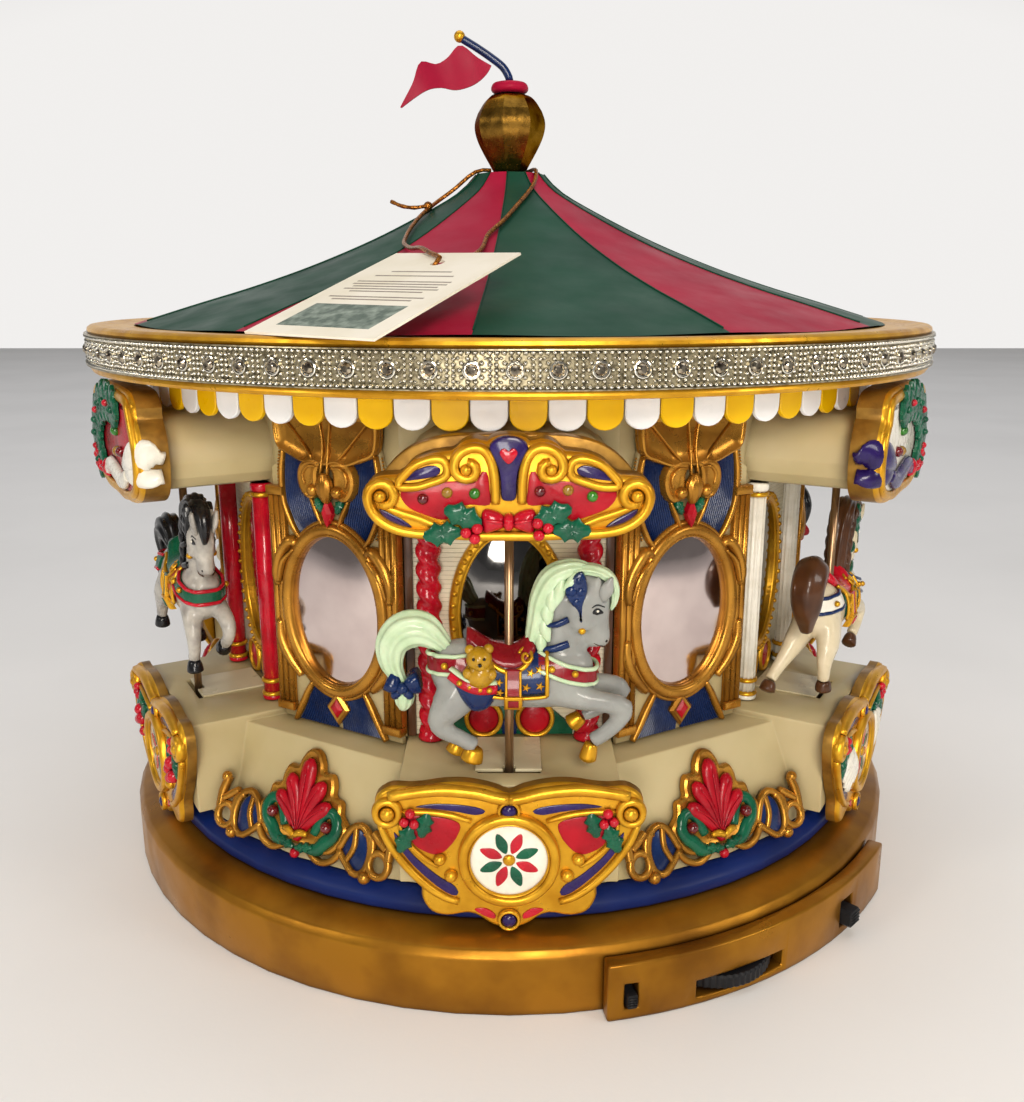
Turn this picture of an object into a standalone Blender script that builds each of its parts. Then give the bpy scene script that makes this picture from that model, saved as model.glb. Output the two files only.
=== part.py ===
"""Table-top musical carousel: a round gold base with its controls, a cream platform with six decks,
a twelve-sided mirrored centre, six galloping horses on rods, and a striped tent top with a pennant.

Sizes are in millimetres and heights are above the table. Every repeated piece is drawn at the front,
facing -Y, and turned about the Z axis to its own place.
"""

import math

import bmesh
import bpy
from mathutils import Matrix, Vector

# Driving dimensions
MM = 0.001
GAP = 0.3
BAYS = 6
BAY_STEP = 360 / BAYS
ROUND_STEPS = 60

BASE_RADIUS = 137.0
BASE_SHOULDER_Z = 17.0
BASE_TOP_Z = 21.7
PANEL_RADIUS = 142.0
PANEL_TOP_Z = 17.0
PANEL_START = 10.5
PANEL_END = 57.0

STEP_RADIUS = 126.0
STEP_TOP_RADIUS = 121.5
STEP_TOP_Z = 28.2

SKIRT_RADIUS = 122.0
LEDGE_FLAT = 109.7
LEDGE_Z = 60.0
DECK_HALF = 29.5
DECK_END = 126.1
DECK_Z = 62.0
DECK_UNDER_Z = 33.4
SLOT_HALF = 8.5
SLOT_WIDTH = 3.6
SLOT_FLOOR_Z = 38.0

CORNER_FLAT = 98.4
CORNER_HALF = 22.4
BAY_RECESS = 88.0
BAY_HALF = 29.6
HEAD_Z = 132.0
DRUM_TOP_Z = 163.2

BEAM_HALF = 28.0
BEAM_END = 126.6
BEAM_TOP_Z = 153.6

POLE_RADIUS_AT = 117.0
POLE_R = 1.2
POLE_BOTTOM_Z = 40.0
POLE_TOP_Z = 137.0
STROKE = 9.0
LIFTS = (0.0, 2.0, 6.0, 9.0, 3.0, 8.5)

RIM_RADIUS = 138.4
BAND_RADIUS = 140.0
RIM_BOTTOM_Z = 163.5
RIM_TOP_Z = 177.3
VALANCE_RADIUS = 122.0
VALANCE_TABS = 80
VALANCE_TIP_Z = 154.3
TENT_RADIUS = 125.0
TENT_TOP_Z = 226.0
GORES = 12
GORE_START = -4.0

BALL_Z = 226.3
COLLAR_Z = 251.3
FLAG_POLE_Z = 255.3

WHEEL_AZIMUTH = 27.0
WHEEL_R = 18.0
WHEEL_CENTRE = 125.8
WHEEL_Z = 4.8
WHEEL_THICK = 4.0
WHEEL_SLOT_HALF = 15.0
WHEEL_SLOT_LOW = 2.2
WHEEL_SLOT_HIGH = 7.4
SONG_AZIMUTH = 13.2
POWER_AZIMUTH = 45.5

# Switch slots: half width, lowest and highest edge
SONG_SLOT = (1.9, 3.4, 10.8)
POWER_SLOT = (3.4, 2.8, 11.4)

# The card tag: its middle, its size, and how it lies on the rim and leans up over the tent
TAG_MIDDLE = (-30.1, -110.9, 187.4)
TAG_WIDTH = 42.0
TAG_LENGTH = 58.0
TAG_THICK = 0.6
TAG_TURN = 35.9
TAG_TILT = 19.5
TAG_ROLL = -0.9
TAG_HOLE = 21.0
TAG_HOLE_R = 2.0
CORD_R = 0.65
CORD_BEND = 2.7
CORD_DIP = 1.5
CORD_STEP = 3.2

# Colour, metallic and roughness of each finish
FINISHES = {
    "gold_paint": ((0.50, 0.27, 0.05), 0.8, 0.38),
    "cream_plastic": ((0.68, 0.62, 0.42), 0.0, 0.45),
    "navy_plastic": ((0.02, 0.04, 0.20), 0.0, 0.3),
    "green_plastic": ((0.01, 0.09, 0.06), 0.0, 0.35),
    "white_plastic": ((0.80, 0.82, 0.85), 0.0, 0.4),
    "silver_plating": ((0.78, 0.75, 0.66), 1.0, 0.2),
    "antique_gold": ((0.35, 0.24, 0.08), 0.9, 0.35),
    "crimson_plastic": ((0.45, 0.01, 0.05), 0.0, 0.35),
    "horse_paint": ((0.45, 0.46, 0.50), 0.0, 0.3),
    "bronze_rod": ((0.35, 0.22, 0.12), 1.0, 0.35),
    "black_plastic": ((0.01, 0.01, 0.01), 0.0, 0.4),
    "card": ((0.85, 0.82, 0.70), 0.0, 0.7),
    "gold_cord": ((0.55, 0.33, 0.08), 0.5, 0.5),
}


def clear_scene():
    for obj in list(bpy.data.objects):
        bpy.data.objects.remove(obj, do_unlink=True)


def finish(name):
    """The Principled material of one finish, made once."""
    material = bpy.data.materials.get(name)
    if material is None:
        colour, metallic, roughness = FINISHES[name]
        material = bpy.data.materials.new(name)
        material.use_nodes = True
        shader = material.node_tree.nodes["Principled BSDF"]
        shader.inputs["Base Color"].default_value = (*colour, 1.0)
        shader.inputs["Metallic"].default_value = metallic
        shader.inputs["Roughness"].default_value = roughness
    return material


# Solids in millimetres, as bmesh
def turned(profile, segments, start=0.0):
    """A solid turned about Z. The profile lists (radius, height) from the top down its outer side;
    it closes on the axis, or on itself where it is a ring."""
    bm = bmesh.new()
    rings = []
    for radius, z in profile:
        if radius == 0.0:
            rings.append([bm.verts.new((0.0, 0.0, z))])
            continue
        ring = []
        for i in range(segments):
            angle = math.radians(start) + 2 * math.pi * i / segments
            ring.append(bm.verts.new((radius * math.sin(angle), -radius * math.cos(angle), z)))
        rings.append(ring)
    closes_on_axis = len(rings[0]) == 1
    pairs = list(zip(rings, rings[1:]))
    if not closes_on_axis:
        pairs.append((rings[-1], rings[0]))
    for upper, lower in pairs:
        for i in range(segments):
            j = (i + 1) % segments
            corners = [upper[i % len(upper)], lower[i % len(lower)], lower[j % len(lower)], upper[j % len(upper)]]
            bm.faces.new(list(dict.fromkeys(corners)))
    bmesh.ops.recalc_face_normals(bm, faces=bm.faces)
    return bm


def plate(outline, back, front, bevel=0.0):
    """A plate that faces -Y. The outline lists (x, z); back and front are distances from the axis."""
    bm = bmesh.new()
    rear = [bm.verts.new((x, -back, z)) for x, z in outline]
    face = bm.faces.new(rear)
    made = bmesh.ops.extrude_face_region(bm, geom=[face])
    moved = [item for item in made["geom"] if isinstance(item, bmesh.types.BMVert)]
    bmesh.ops.translate(bm, verts=moved, vec=(0.0, back - front, 0.0))
    bmesh.ops.recalc_face_normals(bm, faces=bm.faces)
    if bevel:
        rim = [e for e in bm.edges if all(abs(v.co.y + front) < GAP / 10 for v in e.verts)]
        bmesh.ops.bevel(bm, geom=rim, offset=bevel, segments=1, affect="EDGES")
    return bm


def block(x, y, z):
    """A box between the two values given for each axis."""
    bm = bmesh.new()
    bmesh.ops.create_cube(bm, size=1.0)
    for vert in bm.verts:
        vert.co = Vector(span[0] if side < 0 else span[1] for side, span in zip(vert.co, (x, y, z)))
    return bm


def tube(points, sizes, sides):
    """A closed tube along the points. Each size is (half width across the path's plane, half height in it);
    the path lies in the X-Z plane, moved sideways by each point's own Y."""
    bm = bmesh.new()
    rings = []
    count = len(points)
    for i, (point, (wide, high)) in enumerate(zip(points, sizes)):
        ahead = Vector(points[min(i + 1, count - 1)]) - Vector(points[max(i - 1, 0)])
        ahead.y = 0.0
        ahead.normalize()
        up = Vector((-ahead.z, 0.0, ahead.x))
        ring = []
        for k in range(sides):
            angle = 2 * math.pi * (k + 0.5) / sides
            offset = Vector((0.0, wide * math.cos(angle), 0.0)) + up * (high * math.sin(angle))
            ring.append(bm.verts.new(Vector(point) + offset))
        rings.append(ring)
    for lower, upper in zip(rings, rings[1:]):
        for k in range(sides):
            j = (k + 1) % sides
            bm.faces.new((lower[k], lower[j], upper[j], upper[k]))
    bm.faces.new(rings[0])
    bm.faces.new(rings[-1])
    bmesh.ops.recalc_face_normals(bm, faces=bm.faces)
    return bm


def rod(radius, low, high, x=0.0, y=0.0, sides=12):
    """An upright round rod."""
    bm = turned([(0.0, high), (radius, high), (radius, low), (0.0, low)], sides)
    bmesh.ops.translate(bm, verts=bm.verts, vec=(x, y, 0.0))
    return bm


def facing_rod(radius, x, z, back, front, sides=16):
    """A round boss that faces -Y."""
    outline = arc(x, z, radius, 0.0, 360.0 * (sides - 1) / sides, sides - 1)
    return plate(outline, back, front)


# Outlines
def arc(x, z, radius, start, end, steps, squash=1.0):
    """Points on an arc, from the start angle to the end angle in degrees; squash scales its width."""
    points = []
    for i in range(steps + 1):
        angle = math.radians(start + (end - start) * i / steps)
        points.append((x + squash * radius * math.cos(angle), z + radius * math.sin(angle)))
    return points


def mirrored(half):
    """Closes a right-hand outline, given from bottom to top, with its mirror image."""
    left = [(-x, z) for x, z in reversed(half) if x > GAP / 10]
    return half + left


# Objects
def as_object(bm, name="shape"):
    mesh = bpy.data.meshes.new(name)
    bm.to_mesh(mesh)
    bm.free()
    obj = bpy.data.objects.new(name, mesh)
    bpy.context.scene.collection.objects.link(obj)
    return obj


def combined(solids, operation="UNION"):
    """One bmesh from several, by a Boolean of the first with each of the others."""
    objects = [as_object(bm) for bm in solids]
    first = objects[0]
    for other in objects[1:]:
        modifier = first.modifiers.new("join", "BOOLEAN")
        modifier.operation = operation
        modifier.solver = "EXACT"
        modifier.object = other
    depsgraph = bpy.context.evaluated_depsgraph_get()
    result = bmesh.new()
    result.from_mesh(first.evaluated_get(depsgraph).to_mesh())
    for obj in objects:
        bpy.data.objects.remove(obj, do_unlink=True)
    bmesh.ops.remove_doubles(result, verts=result.verts, dist=0.01)
    bmesh.ops.dissolve_limit(result, angle_limit=0.002, verts=result.verts, edges=result.edges)
    bmesh.ops.triangulate(result, faces=result.faces)
    return result


def cut(solid, tools):
    return combined([solid, *tools], "DIFFERENCE")


def turn(bm, azimuth):
    """Turns a solid from the front to its azimuth about the axis."""
    bmesh.ops.rotate(bm, verts=bm.verts, cent=(0, 0, 0), matrix=Matrix.Rotation(math.radians(azimuth), 3, "Z"))
    return bm


def lifted(bm, height):
    bmesh.ops.translate(bm, verts=bm.verts, vec=(0.0, 0.0, height))
    return bm


def mesh_of(bm, name, material, sharp=35.0):
    """Writes a bmesh as a mesh in metres with its finish."""
    bmesh.ops.scale(bm, verts=bm.verts, vec=(MM, MM, MM))
    mesh = bpy.data.meshes.new(name)
    bm.to_mesh(mesh)
    bm.free()
    mesh.materials.append(finish(material))
    mesh.shade_smooth()
    mesh.set_sharp_from_angle(angle=math.radians(sharp))
    return mesh


def add(name, mesh, azimuth=0.0):
    obj = bpy.data.objects.new(name, mesh)
    obj.rotation_euler.z = math.radians(azimuth)
    bpy.context.scene.collection.objects.link(obj)
    return obj


def add_round(name, meshes, offset=0.0):
    """Six nodes numbered from the front, which take the meshes by turns."""
    for bay in range(BAYS):
        add(f"{name}_{bay + 1}", meshes[bay % len(meshes)], offset + bay * BAY_STEP)


# The base and its controls
def panel_arc(inner, outer, low, high, start, end, steps):
    """A curved plate between two radii, two heights and two azimuths."""
    bm = bmesh.new()
    rows = []
    for i in range(steps + 1):
        angle = math.radians(start + (end - start) * i / steps)
        across = Vector((math.sin(angle), -math.cos(angle), 0.0))
        corners = ((inner, low), (outer, low), (outer, high), (inner, high))
        rows.append([bm.verts.new(across * r + Vector((0, 0, z))) for r, z in corners])
    for here, there in zip(rows, rows[1:]):
        for k in range(4):
            j = (k + 1) % 4
            bm.faces.new((here[k], here[j], there[j], there[k]))
    bm.faces.new(rows[0])
    bm.faces.new(rows[-1])
    bmesh.ops.recalc_face_normals(bm, faces=bm.faces)
    return bm


def wheel_room():
    """The pocket that the volume wheel turns in."""
    room = rod(WHEEL_R + 0.6, WHEEL_Z - WHEEL_THICK / 2 - GAP, WHEEL_Z + WHEEL_THICK / 2 + GAP,
               y=-WHEEL_CENTRE, sides=32)
    return turn(room, WHEEL_AZIMUTH)


def switch_room(azimuth, half, low, high, back):
    room = block((-half, half), (-BASE_RADIUS - 12.0, -back), (low, high))
    return turn(room, azimuth)


def build_base():
    housing = turned([
        (0.0, BASE_TOP_Z), (STEP_RADIUS + 1.0, BASE_TOP_Z), (131.0, 20.8), (135.6, 19.2),
        (BASE_RADIUS, BASE_SHOULDER_Z), (BASE_RADIUS, 0.0), (0.0, 0.0)], ROUND_STEPS)
    slots = [switch_room(SONG_AZIMUTH, *SONG_SLOT, 132.0), switch_room(POWER_AZIMUTH, *POWER_SLOT, 132.0)]
    add("base_housing", mesh_of(cut(housing, [wheel_room(), *slots]), "base_housing", "gold_paint"))

    panel = panel_arc(BASE_RADIUS + GAP, PANEL_RADIUS, 0.0, PANEL_TOP_Z, PANEL_START, PANEL_END, 16)
    openings = [
        switch_room(WHEEL_AZIMUTH, WHEEL_SLOT_HALF, WHEEL_SLOT_LOW, WHEEL_SLOT_HIGH, 132.0),
        switch_room(SONG_AZIMUTH, *SONG_SLOT, 132.0),
        switch_room(POWER_AZIMUTH, *POWER_SLOT, 132.0),
    ]
    add("control_panel", mesh_of(cut(panel, openings), "control_panel", "gold_paint"))

    step = turned([
        (0.0, STEP_TOP_Z), (STEP_TOP_RADIUS, STEP_TOP_Z), (124.2, 26.8), (STEP_RADIUS, 25.0),
        (STEP_RADIUS, BASE_TOP_Z + GAP), (0.0, BASE_TOP_Z + GAP)], ROUND_STEPS)
    add("blue_step_ring", mesh_of(step, "blue_step_ring", "navy_plastic"))


def build_controls():
    """The wheel and the two switches, each with its origin on its own joint."""
    half = WHEEL_THICK / 2
    wheel = turned([(0.0, half), (WHEEL_R - 0.5, half), (WHEEL_R, half - 0.5),
                    (WHEEL_R, 0.5 - half), (WHEEL_R - 0.5, -half), (0.0, -half)], 32)
    disc = add("volume_wheel", mesh_of(wheel, "volume_wheel", "black_plastic"))
    angle = math.radians(WHEEL_AZIMUTH)
    across = Vector((math.sin(angle), -math.cos(angle), 0.0))
    disc.location = (across * WHEEL_CENTRE + Vector((0.0, 0.0, WHEEL_Z))) * MM

    song = plate([(-1.5, 3.8), (1.5, 3.8), (1.5, 8.0), (-1.5, 8.0)], 134.0, 143.3, 0.4)
    add("song_switch", mesh_of(song, "song_switch", "black_plastic"), SONG_AZIMUTH)
    power = plate([(-3.0, 3.4), (3.0, 3.4), (3.0, 8.6), (-3.0, 8.6)], 134.0, 145.2, 0.7)
    add("power_switch", mesh_of(power, "power_switch", "black_plastic"), POWER_AZIMUTH)


# The platform
def skirt():
    """The round foot that rises to a six-sided ledge."""
    bm = bmesh.new()
    segments = 36
    foot, ledge = [], []
    for i in range(segments):
        azimuth = 360.0 * i / segments
        from_flat = (azimuth % BAY_STEP) - BAY_STEP / 2
        reach = min(LEDGE_FLAT / math.cos(math.radians(from_flat)), SKIRT_RADIUS - 4.0)
        across = Vector((math.sin(math.radians(azimuth)), -math.cos(math.radians(azimuth)), 0.0))
        foot.append(bm.verts.new(across * SKIRT_RADIUS + Vector((0, 0, STEP_TOP_Z + GAP))))
        ledge.append(bm.verts.new(across * reach + Vector((0, 0, LEDGE_Z))))
    for i in range(segments):
        j = (i + 1) % segments
        bm.faces.new((foot[i], foot[j], ledge[j], ledge[i]))
    bm.faces.new(foot)
    bm.faces.new(ledge)
    bmesh.ops.recalc_face_normals(bm, faces=bm.faces)
    return bm


def deck_beams(half, reach, low, high):
    """Three bars through the axis, which make six arms."""
    bars = []
    for bay in range(BAYS // 2):
        bars.append(turn(block((-half, half), (-reach, reach), (low, high)), bay * BAY_STEP))
    return bars


def build_platform():
    body = combined([skirt(), *deck_beams(DECK_HALF, DECK_END, DECK_UNDER_Z, DECK_Z)])
    slots = []
    for bay in range(BAYS):
        slot = block((-SLOT_HALF, SLOT_HALF),
                     (-POLE_RADIUS_AT - SLOT_WIDTH / 2, -POLE_RADIUS_AT + SLOT_WIDTH / 2),
                     (SLOT_FLOOR_Z, DECK_Z + 2.0))
        slots.append(turn(slot, bay * BAY_STEP))
    add("platform", mesh_of(cut(body, slots), "platform", "cream_plastic"))


# The centre
def twelve_sided(low, high):
    """The core's plan: six corner faces and six wider bay faces."""
    radius = math.hypot(CORNER_FLAT, CORNER_HALF)
    half_angle = math.degrees(math.atan2(CORNER_HALF, CORNER_FLAT))
    bm = bmesh.new()
    ring = []
    for bay in range(BAYS):
        for side in (-half_angle, half_angle):
            angle = math.radians((bay + 0.5) * BAY_STEP + side)
            ring.append(bm.verts.new((radius * math.sin(angle), -radius * math.cos(angle), low)))
    face = bm.faces.new(ring)
    made = bmesh.ops.extrude_face_region(bm, geom=[face])
    moved = [item for item in made["geom"] if isinstance(item, bmesh.types.BMVert)]
    bmesh.ops.translate(bm, verts=moved, vec=(0.0, 0.0, high - low))
    bmesh.ops.recalc_face_normals(bm, faces=bm.faces)
    return bm


def bay_rooms(inner, half, low, high):
    rooms = []
    for bay in range(BAYS):
        rooms.append(turn(block((-half, half), (-CORNER_FLAT - 20.0, -inner), (low, high)), bay * BAY_STEP))
    return rooms


def beam_outline():
    """A beam's end, rounded at its four corners."""
    below, above = 8.0, 13.0
    right = arc(BEAM_HALF - below, HEAD_Z + below, below, -90.0, 0.0, 3)
    shoulder = arc(BEAM_HALF - above, BEAM_TOP_Z - above, above, 0.0, 90.0, 4)
    return mirrored([(0.0, HEAD_Z), *right, *shoulder, (0.0, BEAM_TOP_Z)])


def build_centre():
    """The core with its recessed bays, and a box beam over each deck with a well for the horse's rod."""
    core = cut(twelve_sided(DECK_Z + GAP, DRUM_TOP_Z),
               bay_rooms(BAY_RECESS, BAY_HALF, DECK_Z - 5.0, HEAD_Z))
    beams, wells = [], []
    for bay in range(BAYS):
        beams.append(turn(plate(beam_outline(), BAY_RECESS - 4.0, BEAM_END), bay * BAY_STEP))
        well = rod(POLE_R + GAP * 2, HEAD_Z - 2.0, POLE_TOP_Z + STROKE + 2.0, y=-POLE_RADIUS_AT, sides=8)
        wells.append(turn(well, bay * BAY_STEP))
    body = cut(combined([core, *beams]), wells)
    add("centre_drum", mesh_of(body, "centre_drum", "cream_plastic"))


# Trim on the centre
def oval_ring(z, wide, high, rim, back, front, steps=20):
    """A flat oval ring that faces -Y."""
    bm = bmesh.new()
    loops = []
    for grow, y in ((0.0, back), (0.0, front), (-rim, front), (-rim, back)):
        loop = []
        for i in range(steps):
            angle = 2 * math.pi * i / steps
            loop.append(bm.verts.new(((wide + grow) * math.cos(angle), -y, z + (high + grow) * math.sin(angle))))
        loops.append(loop)
    for here, there in zip(loops, loops[1:] + loops[:1]):
        for i in range(steps):
            j = (i + 1) % steps
            bm.faces.new((here[i], here[j], there[j], there[i]))
    bmesh.ops.recalc_face_normals(bm, faces=bm.faces)
    return bm


def corner_panel():
    """Backing plate, oval frame, two pilasters, fan with shell above and diamond below."""
    back = CORNER_FLAT + GAP
    face = back + 2.0
    outline = mirrored([(0.0, 60.4), (CORNER_HALF, 60.4), (CORNER_HALF, 138.0), (17.5, 140.5),
                        (16.0, 146.0), (12.0, 149.0), (0.0, 150.0)])
    parts = [plate(outline, back, face)]
    parts.append(oval_ring(96.7, 20.0, 27.0, 4.2, face - 0.5, face + 2.6, 14))
    for side in (-1, 1):
        parts.append(rod(2.4, 62.0, 133.0, x=side * 19.9, y=-face - 0.6, sides=6))
    fan = [(-7.0, 134.0), (7.0, 134.0), (15.4, 140.0), (14.6, 146.5), (0.0, 148.6), (-14.6, 146.5), (-15.4, 140.0)]
    parts.append(plate(fan, face - 0.5, face + 3.4))
    parts.append(facing_rod(7.6, 0.0, 132.0, face - 0.5, face + 4.4, 6))
    parts.append(plate([(0.0, 62.4), (3.6, 67.4), (0.0, 72.4), (-3.6, 67.4)], face - 0.5, face + 3.0))
    return combined(parts)


def bay_wall():
    """Recessed wall between two cheeks, with an oval mirror frame and two columns."""
    back = BAY_RECESS + GAP
    face = back + 2.2
    low, high = DECK_Z + GAP, HEAD_Z - GAP
    parts = [block((-BAY_HALF + GAP, BAY_HALF - GAP), (-face, -back), (low, high))]
    for side in (-1, 1):
        inner, outer = 27.0 * side, (BAY_HALF - GAP) * side
        cheek = (min(inner, outer), max(inner, outer))
        parts.append(block(cheek, (-96.2, -back), (low, high)))
        x = 23.0 * side
        parts.append(rod(3.5, low + 1.0, high - 1.0, x=x, y=-face - 3.0, sides=6))
        for z in (low + 0.2, high - 4.2):
            parts.append(block((x - 4.3, x + 4.3), (-face - 6.9, -face + 0.5), (z, z + 4.0)))
    parts.append(oval_ring(98.5, 16.8, 26.5, 3.0, face - 0.5, face + 2.0, 12))
    parts.append(plate(mirrored([(0.0, low + 0.4), (13.0, low + 0.4), (12.0, 68.0), (6.0, 74.0), (0.0, 74.0)]),
                       face - 0.5, face + 1.6))
    return combined(parts)


# Gold castings on the arm ends
def header_outline():
    return mirrored([(0.0, 130.4), (8.0, 130.1), (17.0, 129.8), (24.5, 131.4),
                     *arc(27.2, 141.2, 6.9, -55.0, 85.0, 3), (25.0, 150.9), (21.0, 152.0), (15.0, 152.8),
                     (12.2, 154.3), (9.0, 154.8), (5.6, 153.6), (3.2, 154.9), (0.0, 155.3)])


def tall_header_outline():
    """The castings beside the front one stand higher, with a step in each shoulder."""
    return mirrored([(0.0, 127.8), (12.0, 127.6), (20.0, 128.6), (27.0, 130.6), (31.6, 134.0), (33.6, 139.5),
                     (33.2, 146.0), (31.4, 150.4), (28.6, 153.4), (28.8, 157.0), (25.6, 160.0), (18.0, 161.0),
                     (0.0, 161.4)])


def tall_header_plate():
    """A drape over each lower corner, and a swag of leaves between them."""
    parts = [plate(tall_header_outline(), BEAM_END + GAP, 136.4)]
    for side in (-1, 1):
        parts.append(facing_rod(6.6, side * 26.2, 138.6, 135.0, 138.6, 8))
    swag = mirrored([(0.0, 133.0), (9.0, 136.0), (14.0, 148.0), (10.0, 155.0), (0.0, 157.0)])
    parts.append(plate(swag, 135.4, 138.4))
    return combined(parts)


def header_plate():
    parts = [plate(header_outline(), BEAM_END + GAP, 137.0)]
    for side in (-1, 1):
        parts.append(facing_rod(4.6, side * 28.4, 141.2, 136.0, 138.4, 6))
        parts.append(facing_rod(4.0, side * 9.4, 148.8, 136.0, 138.2, 6))
    bow = mirrored([(0.0, 134.4), (6.2, 132.8), (6.6, 138.4), (0.0, 137.2)])
    parts.append(plate(bow, 136.0, 138.6))
    return combined(parts)


def lower_outline():
    return mirrored([(0.0, 22.2), (3.2, 24.0), (3.9, 26.2), (12.4, 25.6), (18.4, 24.7), (22.4, 27.2),
                     (22.3, 32.6), (29.4, 44.5), (33.2, 53.0), *arc(30.2, 59.2, 4.5, -25.0, 95.0, 3),
                     (18.0, 65.1), (9.0, 64.4), (0.0, 61.9)])


def lower_plate():
    back = DECK_END + GAP
    parts = [plate(lower_outline(), back, 131.6)]
    parts.append(oval_ring(43.4, 13.5, 13.5, 2.5, 130.8, 133.2, 12))
    for side in (-1, 1):
        parts.append(facing_rod(4.0, side * 29.6, 59.2, 130.8, 133.0, 6))
    parts.append(facing_rod(3.0, 0.0, 26.2, 130.8, 133.0, 6))
    return combined(parts)


def crest_outline():
    """The pierced ornament seen square on, with its own foot at height 0."""
    return mirrored([(0.0, 0.0), (8.0, 1.6), (15.0, 0.6), (24.6, 2.6), *arc(28.0, 5.8, 4.4, -100.0, 30.0, 2),
                     (31.2, 13.0), (30.6, 18.0), (28.4, 18.2), (26.4, 12.4), (18.6, 15.4), (15.2, 16.4),
                     (12.4, 21.8), (7.8, 27.0), (2.4, 31.4), (0.0, 32.3)])


def crest():
    """The ornament leans back on the skirt between two decks."""
    thick = 2.4
    holes = []
    for side in (-1, 1):
        holes.append(facing_rod(1.9, side * 28.0, 5.8, -3.0, 8.0, 6))
    body = cut(plate(crest_outline(), 0.0, thick), holes)
    plume = mirrored([(0.0, 8.0), (5.4, 13.0), (6.4, 20.0), (3.4, 25.0), (0.0, 29.5)])
    body = combined([body, plate(plume, thick - 0.4, thick + 1.8)])
    stand_off = 0.5
    lean = math.atan2(SKIRT_RADIUS - LEDGE_FLAT, LEDGE_Z - STEP_TOP_Z - GAP)
    bmesh.ops.rotate(body, verts=body.verts, cent=(0, 0, 0), matrix=Matrix.Rotation(-lean, 3, "X"))
    bmesh.ops.translate(body, verts=body.verts, vec=(0.0, -SKIRT_RADIUS - stand_off, STEP_TOP_Z))
    return body


# The top
def build_top():
    tent = turned([(0.0, TENT_TOP_Z), (11.5, 225.6), (20.0, 218.2), (34.6, 210.4), (51.0, 202.6), (71.0, 194.6),
                   (90.0, 188.2), (107.0, 183.2), (TENT_RADIUS, RIM_TOP_Z + GAP), (0.0, RIM_TOP_Z + GAP)],
                  GORES * 3, GORE_START)
    add("canopy_tent", mesh_of(tent, "canopy_tent", "green_plastic"))

    rim = turned([(0.0, RIM_TOP_Z), (RIM_RADIUS - 2.5, RIM_TOP_Z), (RIM_RADIUS, RIM_TOP_Z - 1.6),
                  (RIM_RADIUS, RIM_BOTTOM_Z), (0.0, RIM_BOTTOM_Z)], ROUND_STEPS)
    add("canopy_rim", mesh_of(rim, "canopy_rim", "gold_paint"))

    band = turned([(BAND_RADIUS, 175.2), (BAND_RADIUS, 165.8), (RIM_RADIUS + GAP, 165.8),
                   (RIM_RADIUS + GAP, 175.2)], ROUND_STEPS)
    add("jewel_band", mesh_of(band, "jewel_band", "silver_plating"))


def build_valance():
    """A thin ring whose lower edge is cut into tabs."""
    inner, outer = VALANCE_RADIUS - 1.2, VALANCE_RADIUS
    top = RIM_BOTTOM_Z - GAP
    bm = bmesh.new()
    columns = []
    for i in range(VALANCE_TABS * 2):
        angle = math.radians(360.0 * (i // 2 + (0.16 if i % 2 == 0 else 0.84)) / VALANCE_TABS)
        across = Vector((math.sin(angle), -math.cos(angle), 0.0))
        corners = ((inner, VALANCE_TIP_Z), (outer, VALANCE_TIP_Z), (outer, top), (inner, top))
        columns.append([bm.verts.new(across * r + Vector((0, 0, z))) for r, z in corners])
    notches = []
    for i in range(VALANCE_TABS):
        angle = math.radians(360.0 * i / VALANCE_TABS)
        across = Vector((math.sin(angle), -math.cos(angle), 0.0))
        corners = ((inner, VALANCE_TIP_Z + 2.6), (outer, VALANCE_TIP_Z + 2.6), (outer, top), (inner, top))
        notches.append([bm.verts.new(across * r + Vector((0, 0, z))) for r, z in corners])
    ring = []
    for i in range(VALANCE_TABS):
        ring += [notches[i], columns[2 * i], columns[2 * i + 1]]
    for here, there in zip(ring, ring[1:] + ring[:1]):
        for k in range(4):
            j = (k + 1) % 4
            bm.faces.new((here[k], here[j], there[j], there[k]))
    bmesh.ops.recalc_face_normals(bm, faces=bm.faces)
    add("scallop_valance", mesh_of(bm, "scallop_valance", "white_plastic"))


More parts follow.
